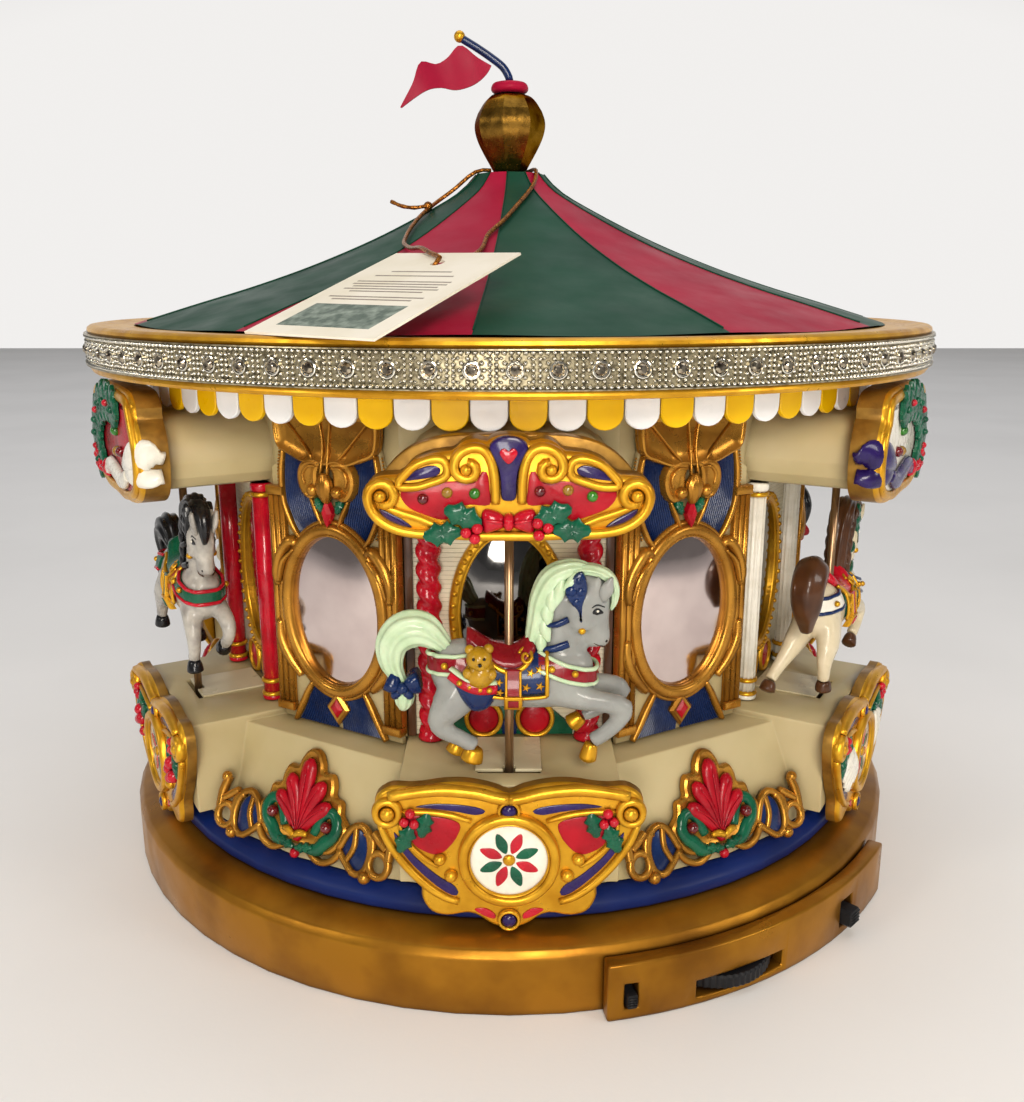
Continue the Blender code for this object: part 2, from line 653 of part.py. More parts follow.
def build_finial():
    ball = turned([(0.0, 251.0), (5.2, 251.0), (9.4, 249.0), (12.0, 243.4), (11.8, 239.4), (9.6, 234.0),
                   (6.4, 229.4), (4.6, 228.2), (5.8, 227.4), (5.4, BALL_Z), (0.0, BALL_Z)], 12)
    add("finial_ball", mesh_of(ball, "finial_ball", "antique_gold", 12.0))
    collar = turned([(0.0, 255.0), (4.6, 255.0), (6.0, 253.8), (6.0, 252.4), (5.2, COLLAR_Z), (0.0, COLLAR_Z)], 16)
    add("finial_collar", mesh_of(collar, "finial_collar", "crimson_plastic"))

    route = [(0.0, 0.0, FLAG_POLE_Z), (0.0, 0.0, 256.6), (-2.2, 0.0, 259.6), (-5.6, 0.0, 262.0),
             (-10.6, 0.0, 265.2), (-16.2, 0.0, 268.6)]
    shaft = tube(route, [(1.3, 1.3)] * len(route), 8)
    knob = bmesh.new()
    bmesh.ops.create_icosphere(knob, subdivisions=1, radius=1.9)
    bmesh.ops.translate(knob, verts=knob.verts, vec=(-16.6, 0.0, 269.0))
    add("flag_pole", mesh_of(combined([shaft, knob]), "flag_pole", "navy_plastic"))

    cloth = [(-6.1, 260.1), (-7.6, 257.6), (-13.4, 253.4), (-18.4, 252.4), (-23.4, 253.2), (-27.6, 252.4),
             (-31.0, 249.6), (-36.8, 247.0), (-32.4, 254.4), (-29.8, 261.2), (-24.4, 260.2), (-20.6, 262.4),
             (-16.4, 266.6)]
    flag = plate(cloth, -0.5, 0.5)
    add("pennant", mesh_of(flag, "pennant", "crimson_plastic"))


# The tag on its cord
def tag_place(across, along, above):
    """A point of the tag's own plane: millimetres across it, up along it and above its face."""
    turn_by, tilt, roll = (math.radians(a) for a in (TAG_TURN, TAG_TILT, TAG_ROLL))
    length = Vector((math.cos(tilt) * math.sin(turn_by), math.cos(tilt) * math.cos(turn_by), math.sin(tilt)))
    level = Vector((math.cos(turn_by), -math.sin(turn_by), 0.0))
    width = level * math.cos(roll) + level.cross(length) * math.sin(roll)
    return Vector(TAG_MIDDLE) + width * across + length * along + width.cross(length) * above


def build_tag():
    """A blank card with a punched hole, leaning from the rim up over the tent."""
    half = TAG_THICK / 2
    card = block((-TAG_WIDTH / 2, TAG_WIDTH / 2), (-TAG_LENGTH / 2, TAG_LENGTH / 2), (-half, half))
    card = cut(card, [rod(TAG_HOLE_R, -1.0, 1.0, y=TAG_HOLE)])
    for vert in card.verts:
        vert.co = tag_place(*vert.co)
    bmesh.ops.recalc_face_normals(card, faces=card.faces)
    add("hang_tag", mesh_of(card, "hang_tag", "card"))


def cord_points():
    """The cord from the finial's foot down the left of the tent, through the tag's hole, and back."""
    foot = 5.8 + GAP + CORD_R
    foot_z = 227.0
    left = [(-9.6, -3.4, 226.9), (-13.0, -4.8, 225.4), (-18.6, -6.6, 220.6), (-24.3, -8.6, 216.4),
            (-28.4, -19.7, 211.8), (-30.9, -30.6, 207.4), (-31.9, -41.3, 203.6), (-31.4, -52.0, 201.2),
            (-28.4, -63.5, 199.5)]
    over_card = [(-13.0, 30.5, 1.2), (-5.4, 25.6, 1.25)]
    loop = []
    for i in range(5):
        angle = math.radians(90.0 - 45.0 * i)
        reach = TAG_HOLE + CORD_BEND * (0.84 - math.cos(angle))
        loop.append((-0.8 - i * 0.2, reach, CORD_BEND * math.sin(angle) - CORD_DIP))
    under_card = [(-3.2, 28.5, -4.4), (-6.4, 38.0, -5.4)]
    right = [(-8.2, -61.9, 199.2), (-6.6, -51.2, 203.6), (-4.2, -45.9, 206.2), (-1.2, -39.7, 209.2),
             (3.3, -28.3, 214.9), (6.2, -21.0, 218.6), (8.2, -15.2, 222.2), (8.8, -10.4, 225.8), (8.2, -4.6, 227.0)]
    behind = []
    for azimuth in (95.0, 130.0, 165.0, 200.0, 228.0):
        angle = math.radians(azimuth)
        behind.append((foot * math.sin(angle), -foot * math.cos(angle), foot_z))
    start = math.radians(-72.0)
    points = [Vector((foot * math.sin(start), -foot * math.cos(start), foot_z))]
    points += [Vector(p) for p in left]
    points += [tag_place(*p) for p in over_card + loop + under_card]
    points += [Vector(p) for p in right + behind]
    return points


def smooth_route(points, step):
    """A Catmull-Rom curve through the points, read again at even steps."""
    ends = [points[0] * 2 - points[1], *points, points[-1] * 2 - points[-2]]
    fine = []
    for a, b, c, d in zip(ends, ends[1:], ends[2:], ends[3:]):
        knots = [0.0]
        for here, there in ((a, b), (b, c), (c, d)):
            knots.append(knots[-1] + math.sqrt((there - here).length))
        for i in range(12):
            t = knots[1] + (knots[2] - knots[1]) * i / 12
            ab = a.lerp(b, t / knots[1])
            bc = b.lerp(c, (t - knots[1]) / (knots[2] - knots[1]))
            cd = c.lerp(d, (t - knots[2]) / (knots[3] - knots[2]))
            abc = ab.lerp(bc, t / knots[2])
            bcd = bc.lerp(cd, (t - knots[1]) / (knots[3] - knots[1]))
            fine.append(abc.lerp(bcd, (t - knots[1]) / (knots[2] - knots[1])))
    fine.append(points[-1])
    total = sum((q - p).length for p, q in zip(fine, fine[1:]))
    count = round(total / step)
    route, walked, mark = [fine[0]], 0.0, total / count
    for p, q in zip(fine, fine[1:]):
        span = (q - p).length
        while walked + span >= mark and len(route) < count:
            route.append(p.lerp(q, (mark - walked) / span))
            mark += total / count
        walked += span
    return [*route, points[-1]]


def build_cord():
    route = smooth_route(cord_points(), CORD_STEP)
    curve = bpy.data.curves.new("tag_cord", "CURVE")
    curve.dimensions = "3D"
    curve.bevel_depth = CORD_R * MM
    curve.bevel_resolution = 2
    curve.use_fill_caps = True
    spline = curve.splines.new("POLY")
    spline.points.add(len(route) - 1)
    for knot, place in zip(spline.points, route):
        knot.co = (*(place * MM), 1.0)
    curve.materials.append(finish("gold_cord"))
    bpy.context.scene.collection.objects.link(bpy.data.objects.new("tag_cord", curve))


# The horses
POSES = {
    "gallop": (
        ((-12.0, 88.0), (-18.0, 81.5), (-20.0, 74.4), (-9.0, 66.2)),
        ((-12.0, 87.5), (-17.0, 81.0), (-18.4, 75.6), (-12.4, 69.0)),
        ((16.0, 88.0), (24.0, 84.2), (31.0, 81.0), (20.6, 66.6)),
        ((16.0, 89.0), (24.0, 87.6), (31.0, 86.6), (17.6, 76.6)),
    ),
    "canter": (
        ((-12.0, 88.0), (-19.0, 83.0), (-23.0, 76.4), (-25.0, 69.6)),
        ((-12.0, 87.5), (-16.0, 80.0), (-19.0, 74.0), (-13.4, 66.4)),
        ((16.0, 88.0), (19.6, 82.0), (22.0, 75.0), (18.0, 66.0)),
        ((16.0, 89.0), (22.0, 85.6), (28.0, 83.0), (20.6, 74.4)),
    ),
    "leap": (
        ((-12.0, 88.0), (-17.0, 81.0), (-20.0, 74.0), (-19.6, 66.0)),
        ((-12.0, 87.5), (-19.0, 81.6), (-24.6, 75.6), (-30.0, 68.6)),
        ((16.0, 88.0), (22.0, 82.4), (28.0, 78.6), (17.6, 70.6)),
        ((16.0, 89.0), (24.0, 86.6), (30.6, 84.4), (20.0, 75.6)),
    ),
}
HORSE_POSES = ("gallop", "leap", "canter", "gallop", "leap", "canter")
LEG_SIDES = (-4.6, 4.6, -4.4, 4.4)
LEG_SIZES = ((4.4, 5.6), (3.0, 3.8), (2.2, 2.6), (2.0, 2.2))


def horse(pose):
    """Body, neck, head, mane, tail, saddle and four legs round the rod, at the low end of the stroke."""
    def path(pairs, side=0.0):
        return [(x, side, z) for x, z in pairs]

    parts = [tube(path(((-19.0, 91.0), (-15.0, 90.0), (-4.0, 88.8), (10.0, 89.2), (19.0, 91.0), (23.4, 92.6))),
                  ((2.6, 3.0), (6.4, 7.0), (6.8, 7.6), (6.8, 8.0), (5.4, 6.6), (2.4, 3.0)), 6)]
    parts.append(tube(path(((14.0, 90.0), (15.6, 99.0), (14.6, 111.0), (15.4, 118.6))),
                      ((5.4, 8.6), (4.0, 6.4), (3.4, 5.0), (2.6, 2.4)), 6))
    parts.append(tube(path(((13.4, 116.4), (17.4, 115.0), (21.4, 106.0), (24.0, 97.4))),
                      ((2.4, 2.4), (3.6, 4.6), (2.6, 3.4), (1.8, 1.8)), 6))
    parts.append(tube(path(((16.0, 119.4), (11.0, 115.6), (8.4, 108.0), (7.6, 101.0), (6.6, 96.0))),
                      ((2.0, 1.6), (3.4, 3.6), (3.8, 3.8), (3.6, 3.4), (2.0, 1.6)), 4))
    parts.append(tube(path(((-17.0, 93.0), (-19.6, 100.0), (-26.0, 103.6), (-31.6, 98.6), (-31.0, 90.0), (-28.4, 80.6))),
                      ((2.0, 2.4), (3.2, 4.4), (3.6, 4.4), (3.6, 4.0), (3.0, 3.4), (1.0, 1.0)), 4))
    saddle = mirrored([(0.0, 85.0), (9.4, 85.4), (9.0, 97.4), (5.0, 97.4), (0.0, 96.4)])
    parts.append(plate([(x - 1.2, z) for x, z in saddle], -7.6, 7.6))
    parts.append(plate([(-11.4, 96.0), (-7.4, 96.0), (-8.4, 101.4), (-10.8, 101.6)], -4.4, 4.4))
    for route, side in zip(POSES[pose], LEG_SIDES):
        parts.append(tube(path(route, side), LEG_SIZES, 4))
    body = combined(parts)
    return cut(body, [rod(POLE_R + GAP * 2, 60.0, 125.0, sides=8)])


def build_horses():
    """Each horse slides with its rod; the object's origin is on the rod's axis at deck height."""
    meshes = {}
    for pose in POSES:
        meshes[pose] = mesh_of(lifted(horse(pose), -DECK_Z), f"horse_{pose}", "horse_paint")
    pole = rod(POLE_R, POLE_BOTTOM_Z - DECK_Z, POLE_TOP_Z - DECK_Z)
    pole_mesh = mesh_of(pole, "horse_pole", "bronze_rod")
    for bay, (lift, pose) in enumerate(zip(LIFTS, HORSE_POSES)):
        angle = math.radians(bay * BAY_STEP)
        across = Vector((math.sin(angle), -math.cos(angle), 0.0))
        for name, mesh in (("horse", meshes[pose]), ("horse_pole", pole_mesh)):
            obj = add(f"{name}_{bay + 1}", mesh, bay * BAY_STEP)
            obj.location = (across * POLE_RADIUS_AT + Vector((0.0, 0.0, DECK_Z + lift))) * MM


def main():
    clear_scene()
    build_base()
    build_controls()
    build_platform()
    build_centre()
    add_round("corner_panel", [mesh_of(corner_panel(), "corner_panel", "gold_paint")], BAY_STEP / 2)
    add_round("bay_wall", [mesh_of(bay_wall(), "bay_wall", "cream_plastic")])
    front = mesh_of(header_plate(), "header_plate", "gold_paint")
    tall = mesh_of(tall_header_plate(), "tall_header_plate", "gold_paint")
    add_round("header_plate", [front, tall, tall])
    add_round("lower_plate", [mesh_of(lower_plate(), "lower_plate", "gold_paint")])
    add_round("crest", [mesh_of(crest(), "crest", "gold_paint")], BAY_STEP / 2)
    build_top()
    build_valance()
    build_finial()
    build_tag()
    build_cord()
    build_horses()


main()
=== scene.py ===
"""A table-top musical carousel of painted plastic: six moving horses, a jewelled canopy, a base with controls.

Lengths are millimetres in the numpy work and metres in Blender. A point of an arm is (along, up, out): along
the tangent, up from the ground, and out from the carousel's axis. Arm 1 is the front, and the others follow
every 60 degrees, counter-clockwise seen from above.
"""
import logging
import math
from dataclasses import dataclass, field, replace
from enum import Enum
from typing import Callable, Sequence

import bmesh
import bpy
import numpy as np
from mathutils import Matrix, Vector


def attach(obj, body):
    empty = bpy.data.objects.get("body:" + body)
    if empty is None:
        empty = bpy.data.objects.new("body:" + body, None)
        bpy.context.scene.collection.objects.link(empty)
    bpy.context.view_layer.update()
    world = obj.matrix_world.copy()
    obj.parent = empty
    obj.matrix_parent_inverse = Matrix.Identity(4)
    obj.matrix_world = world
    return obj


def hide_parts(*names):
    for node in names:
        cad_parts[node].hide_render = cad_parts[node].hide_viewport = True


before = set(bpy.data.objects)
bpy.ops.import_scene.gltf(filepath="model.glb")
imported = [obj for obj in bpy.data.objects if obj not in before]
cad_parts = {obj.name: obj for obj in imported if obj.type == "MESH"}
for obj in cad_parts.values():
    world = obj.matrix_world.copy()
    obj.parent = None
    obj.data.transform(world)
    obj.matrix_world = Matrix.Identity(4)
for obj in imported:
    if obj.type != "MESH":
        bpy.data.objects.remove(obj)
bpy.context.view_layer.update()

LOG = logging.getLogger("carousel")
Array = np.ndarray
Place = Callable[[Array], Array]
Line = Sequence[tuple[float, ...]]
Tree = bpy.types.NodeTree
Socket = bpy.types.NodeSocket
MM = 0.001
PER_METRE = 1000.0
# Turns an out over to the far side of a horse
FAR = (1.0, 1.0, -1.0)
BAYS = 6
ARM_STEP = 360.0 / BAYS
SHARP_DEGREES = 34.0
# Share of a tube's sections and sides that is drawn, for a whole object under a million triangles
TUBE_DETAIL = 0.7


# Surfaces
@dataclass
class Shell:
    """A closed surface: its points, the corners of all its faces in one row, and each face's size."""

    points: Array
    corners: Array
    sizes: Array
    soft: bool = False

    def moved(self, place: Place) -> "Shell":
        """The same faces with every point put through a function."""
        return replace(self, points=place(self.points))


def skin(rows: Array, ring: bool = True, loop: bool = False, soft: bool = False) -> Shell:
    """Four-sided faces between neighbouring rows of points.

    Args:
        rows: points[row, place in the row, coordinate].
        ring: each row closes on itself, and the first and last row get a cap.
        loop: the last row joins the first, so there are no caps.
        soft: the shell is shaded smooth all over.

    Returns:
        The shell.
    """
    count, wide = rows.shape[:2]
    i = np.arange(count if loop else count - 1)[:, None]
    j = np.arange(wide if ring else wide - 1)[None, :]
    here, there = i * wide, ((i + 1) % count) * wide
    quads = np.stack([here + j, here + (j + 1) % wide, there + (j + 1) % wide, there + j], -1).reshape(-1, 4)
    corners, sizes = [quads.ravel()], [np.full(len(quads), 4)]
    if ring and not loop:
        corners += [np.arange(wide)[::-1], (count - 1) * wide + np.arange(wide)]
        sizes.append(np.array([wide, wide]))
    return Shell(rows.reshape(-1, 3), np.concatenate(corners), np.concatenate(sizes), soft)


def copies(shell: Shell, origins: Array, axes: Array) -> Shell:
    """One shell repeated: each copy's point is its origin plus the shell's point times its three axes.

    Args:
        shell: the pattern, round its own origin.
        origins: (n, 3) places.
        axes: (n, 3, 3) rows are the directions of the pattern's three axes.

    Returns:
        All copies as one shell.
    """
    total, each = len(origins), len(shell.points)
    points = origins[:, None] + np.einsum("pk,nkc->npc", shell.points, axes)
    corners = shell.corners[None] + np.arange(total)[:, None] * each
    return Shell(points.reshape(-1, 3), corners.ravel(), np.tile(shell.sizes, total), shell.soft)


def upright(origins: Sequence, squash: float = 1.0) -> tuple[Array, Array]:
    """Origins and unturned axes for copies, the third axis squashed."""
    places = np.atleast_2d(np.asarray(origins, float))
    return places, np.tile(np.diag([1.0, 1.0, squash]), (len(places), 1, 1))


def curve(knots: Sequence, count: int, closed: bool = False) -> Array:
    """A Catmull-Rom curve through the knots, read at even steps of its length.

    Between two knots b and c, with a before and d after, the point at t is half of
    2b + (c - a)t + (2a - 5b + 4c - d)t^2 + (3b - a - 3c + d)t^3. The length is measured on the first three
    coordinates, and any more, such as widths, are carried along.

    Args:
        knots: (n, any) points.
        count: how many points come back.
        closed: the curve returns to its first knot.

    Returns:
        (count, any) points.
    """
    p = np.asarray(knots, float)
    ends = [p[-1:], p, p[:2]] if closed else [2 * p[:1] - p[1:2], p, 2 * p[-1:] - p[-2:-1]]
    p = np.concatenate(ends)
    spans = len(p) - 3
    u = np.linspace(0.0, spans, spans * 12 + 1)
    i = np.minimum(u.astype(int), spans - 1)
    t = (u - i)[:, None]
    a, b, c, d = p[i], p[i + 1], p[i + 2], p[i + 3]
    fine = 0.5 * (2 * b + (c - a) * t + (2 * a - 5 * b + 4 * c - d) * t**2 + (3 * b - a - 3 * c + d) * t**3)
    walked = np.concatenate([[0], np.cumsum(np.linalg.norm(np.diff(fine[:, :3], axis=0), axis=1))])
    marks = np.linspace(0.0, walked[-1], count, endpoint=not closed)
    return np.column_stack([np.interp(marks, walked, column) for column in fine.T])


def mirrored(half: Sequence) -> Array:
    """An outline from its left half, top point first, with the same half turned over to the right."""
    left = np.asarray(half, float)
    inner = left[np.abs(left[:, 0]) > 0.35][::-1]
    return np.concatenate([left, inner * (-1.0, 1.0)])


def outlined(half: Line, foot: float, count: int) -> Array:
    """A casting's edge as one curve: left half from the top, lowest point, and the left half mirrored."""
    return curve(np.insert(mirrored(half), len(half), (0.0, foot), axis=0), count, True)


def rect(x0: float, y0: float, x1: float, y1: float) -> Array:
    """A rectangle's outline."""
    return np.array([(x0, y0), (x1, y0), (x1, y1), (x0, y1)], float)


def lozenge(y: float, wide: float, high: float) -> Array:
    """A lozenge's outline, from its middle's height and half its width and height."""
    return np.array([(0.0, y - high), (wide, y), (0.0, y + high), (-wide, y)])


def inset(outline: Array, by: float) -> Array:
    """The outline with each point moved inward along the mean of its two edges' normals."""
    edge = np.roll(outline, -1, 0) - outline
    edge = edge / np.maximum(np.linalg.norm(edge, axis=1, keepdims=True), 1e-9)
    normal = np.column_stack([-edge[:, 1], edge[:, 0]])
    mean = normal + np.roll(normal, 1, 0)
    mean = mean / np.maximum(np.linalg.norm(mean, axis=1, keepdims=True), 1e-9)
    reach = by / np.maximum((mean * normal).sum(1, keepdims=True), 0.6)
    x, y = outline.T
    turned_left = np.sum(x * np.roll(y, -1) - np.roll(x, -1) * y) > 0.0
    return outline + mean * reach * (1.0 if turned_left else -1.0)


def relief(outline: Array, steps: Line) -> Shell:
    """A raised shape in an arm's plane: the outline pulled in by a step's first number, out at its second."""
    rows = [np.column_stack([inset(outline, by), np.full(len(outline), out)]) for by, out in steps]
    return skin(np.stack(rows))


def moulding(outline: Array, back: float, face: float, edge: float = 0.6) -> Shell:
    """A relief from back to face with a rounded front edge."""
    return relief(outline, [(0, back), (0, face - edge), (edge * 0.3, face - edge * 0.3), (edge, face)])


def dome(outline: Array, back: float, rise: float, rings: int = 4) -> Shell:
    """A cushion over an outline: ring k is the outline shrunk to cos of its angle, out by sin of that."""
    angle = np.linspace(0.0, math.pi / 2 * 0.92, rings)
    middle = outline.mean(0)
    flat = middle + (outline - middle)[None] * np.cos(angle)[:, None, None]
    out = np.broadcast_to((back + rise * np.sin(angle))[:, None, None], flat.shape[:2] + (1,))
    base = np.concatenate([flat[:1], np.full_like(out[:1], back - 0.6)], -1)
    return skin(np.concatenate([base, np.concatenate([flat, out], -1)]), soft=True)


def tube(knots: Sequence, count: int = 24, sides: int = 8, up: Sequence = (0.0, 0.0, 1.0), power: float = 1.0,
        ridges: int = 0, depth: float = 0.0, twist: float = 0.0, loop: bool = False) -> Shell:
    """An oval section carried along a curve.

    The section's two directions are side = along x up, and top = side x along. A point of it is
    wide * cos(a)^power * side + tall * sin(a)^power * top, swollen by depth * cos(ridges * a + twist * s).

    Args:
        knots: (n, 5) rows of place, half width to the side, and half height to the top.
        count: sections along the curve.
        sides: points round each section.
        up: a direction that the curve never runs along.
        power: 1 is an ellipse, and below 1 is squarer.
        ridges: how many ridges run along it, as on a lock of hair.
        depth: how deep they are, as a share of the section.
        twist: how far they turn from end to end, in radians.
        loop: the curve closes on itself.

    Returns:
        The tube, closed at its ends.
    """
    count = max(3, round(count * TUBE_DETAIL))
    sides = sides if ridges else max(6, round(sides * TUBE_DETAIL))
    line = curve(knots, count, loop)
    place, wide, tall = line[:, :3], line[:, 3:4, None], line[:, 4:5, None]
    along = np.roll(place, -1, 0) - np.roll(place, 1, 0) if loop else np.gradient(place, axis=0)
    along /= np.linalg.norm(along, axis=1, keepdims=True)
    side = np.cross(along, np.asarray(up, float))
    side /= np.linalg.norm(side, axis=1, keepdims=True)
    top = np.cross(side, along)
    a = np.linspace(0.0, 2 * math.pi, sides, endpoint=False)
    x = np.sign(np.cos(a)) * np.abs(np.cos(a)) ** power
    y = np.sign(np.sin(a)) * np.abs(np.sin(a)) ** power
    swell = 1.0 + depth * np.cos(ridges * a[None] + twist * np.linspace(0.0, 1.0, count)[:, None])
    flat = wide * x[:, None] * side[:, None] + tall * y[:, None] * top[:, None]
    rows = place[:, None] + swell[..., None] * flat
    return skin(rows, loop=loop, soft=True)


def ribbon(points: Sequence, out: float, width: float, rise: float, count: int = 20, sides: int = 8,
        taper: float = 0.55, loop: bool = False, power: float = 0.85) -> Shell:
    """A rounded strap lying on a plate, thinner towards its ends.

    Args:
        points: (n, 2) places in the arm's plane.
        out: how far out the plate's face is.
        width: the strap's width in the middle.
        rise: how far it stands out of the face.
        count: sections along it.
        sides: points round it.
        taper: the share of its width at the ends.
        loop: the strap closes on itself.
        power: 1 is round on top, and below 1 is flatter.

    Returns:
        The strap, half of it sunk in the plate.
    """
    flat = np.asarray(points, float)
    s = np.linspace(-1.0, 1.0, len(flat))
    share = np.ones(len(flat)) if loop else taper + (1.0 - taper) * (1.0 - s**2) ** 0.5
    rows = np.column_stack([flat, np.full(len(flat), out), width / 2 * share, rise * (0.4 + 0.6 * share)])
    return tube(rows, count, sides, power=power, loop=loop)


def body_of(outline: Array, back: float, face: float, edge: float) -> tuple[Shell, Array]:
    """A casting's body with a rounded front edge, and which of its faces are the sides, that take the darker
    gold of painted shade.
    """
    shell = relief(outline, [(0, back), (0, face - edge * 1.1), (edge * 0.25, face - edge * 0.45),
        (edge * 0.6, face - edge * 0.12), (edge, face)])
    return shell, (np.arange(len(shell.sizes)) < len(outline)).astype(int)


def spiral(x: float, y: float, start: float, end: float, first: float, last: float, count: int = 12) -> Array:
    """Points of a scroll: the radius goes evenly from start to end, and the angle from first to last."""
    angle = np.radians(np.linspace(first, last, count))
    radius = np.linspace(start, end, count)
    return np.column_stack([x + radius * np.cos(angle), y + radius * np.sin(angle)])


def oval(x: float, y: float, wide: float, high: float, count: int = 48) -> Array:
    """An ellipse's outline."""
    angle = np.linspace(0.0, 2 * math.pi, count, endpoint=False)
    return np.column_stack([x + wide * np.cos(angle), y + high * np.sin(angle)])


def lathe(profile: Sequence, segments: int, start: float = 0.0) -> Shell:
    """A profile of (radius, height) turned round the carousel's axis, with its two ends capped."""
    p = np.asarray(profile, float)
    angle = np.radians(start + np.arange(segments) * 360.0 / segments)
    return skin(np.stack([p[:, :1] * np.sin(angle), -p[:, :1] * np.cos(angle),
        np.repeat(p[:, 1:], segments, 1)], -1))


def bead(radius: float, rings: int = 4, sides: int = 8) -> Shell:
    """A ball: ring k stands at radius * -cos of its angle and is radius * sin of it wide."""
    angle = np.linspace(0.22, math.pi - 0.22, rings)
    round_it = np.linspace(0.0, 2 * math.pi, sides, endpoint=False)
    wide = radius * np.sin(angle)[:, None]
    rows = np.stack([wide * np.cos(round_it), wide * np.sin(round_it),
        np.repeat(-radius * np.cos(angle)[:, None], sides, 1)], -1)
    return skin(rows, soft=True)


def ball(x: float, y: float, radius: float, out: float, squash: float = 1.0, rings: int = 7,
        sides: int = 14) -> Shell:
    """A round bead at a place of the plane, squashed in its depth."""
    return copies(bead(radius, rings, sides), *upright([(x, y, out)], squash))


def brilliant(radius: float, rise: float, sides: int = 8) -> Shell:
    """A cut stone: girdle, then a crown of flat facets turned half a step, then its table."""
    rings = np.array([(1.0, -0.5, 0.0), (1.0, 0.0, 0.0), (0.72, 0.62, 0.5), (0.42, 1.0, 1.0)])
    share, out, turn = rings.T[..., None]
    angle = (np.arange(sides) + turn) * 2 * math.pi / sides
    return skin(np.stack([radius * share * np.cos(angle), radius * share * np.sin(angle),
        rise * out + 0 * angle], -1))


def leaf(x: float, y: float, length: float, width: float, angle: float, out: float, points: int = 3) -> Shell:
    """A spiked evergreen leaf: an oval whose edge is drawn in between its spikes, raised along the middle."""
    t = np.linspace(0.0, 1.0, points * 6 + 1)[:-1]
    edge = width / 2 * np.sin(math.pi * t) ** 0.5 * (1.0 - 0.36 * np.abs(np.sin(math.pi * points * t)))
    spine = (t - 0.5) * length
    outline = np.concatenate([np.column_stack([spine, edge]), np.column_stack([-spine, -edge])])
    outline = outline[np.r_[True, np.linalg.norm(np.diff(outline, axis=0), axis=1) > 1e-6]]
    turn = math.radians(angle)
    spin = np.array([[math.cos(turn), math.sin(turn)], [-math.sin(turn), math.cos(turn)]])
    flat = outline @ spin
    steps = np.array([[1, -0.6], [1, 0.35], [0.86, 0.7], [0.4, 1.05], [0.1, 0.8]])
    shrunk = flat[None] * steps[:, :1, None]
    rows = np.concatenate([shrunk + (x, y), np.repeat((out + steps[:, 1:])[:, None], len(flat), 1)], -1)
    return skin(rows)


def ring_axes(azimuths: Array) -> Array:
    """The tangent, up and outward directions at each azimuth in degrees, as (n, 3, 3)."""
    sin, cos, zero = np.sin(np.radians(azimuths)), np.cos(np.radians(azimuths)), np.zeros(len(azimuths))
    return np.stack([cos, sin, zero, zero, zero, zero + 1.0, sin, -cos, zero], -1).reshape(-1, 3, 3)


def on_arm(azimuth: float) -> Place:
    """A function that takes (along, up, out) of the arm at this azimuth to the carousel's x, y and z."""
    return lambda points: points @ ring_axes([azimuth])[0]


# Finishes
def linear(code: str) -> tuple[float, float, float, float]:
    """An sRGB colour in hex turned to the linear values that a shader takes."""
    parts = [int(code[i:i + 2], 16) / 255 for i in (0, 2, 4)]
    return (*(c / 12.92 if c <= 0.04045 else ((c + 0.055) / 1.055) ** 2.4 for c in parts), 1.0)


def node(tree: Tree, kind: str, inputs: dict, output: int | str = 0, **settings: object) -> Socket | None:
    """Add one node.

    Args:
        tree: the node tree.
        kind: the node's type.
        inputs: values, or sockets to link, by the input's name or number.
        output: the name or number of the output that comes back.
        settings: the node's own properties.

    Returns:
        That output, or nothing for a tree's last node.
    """
    made = tree.nodes.new(kind)
    for key, value in settings.items():
        setattr(made, key, value)
    for key, value in inputs.items():
        if isinstance(value, Socket):
            tree.links.new(value, made.inputs[key])
        else:
            made.inputs[key].default_value = value
    return made.outputs[output] if made.outputs else None


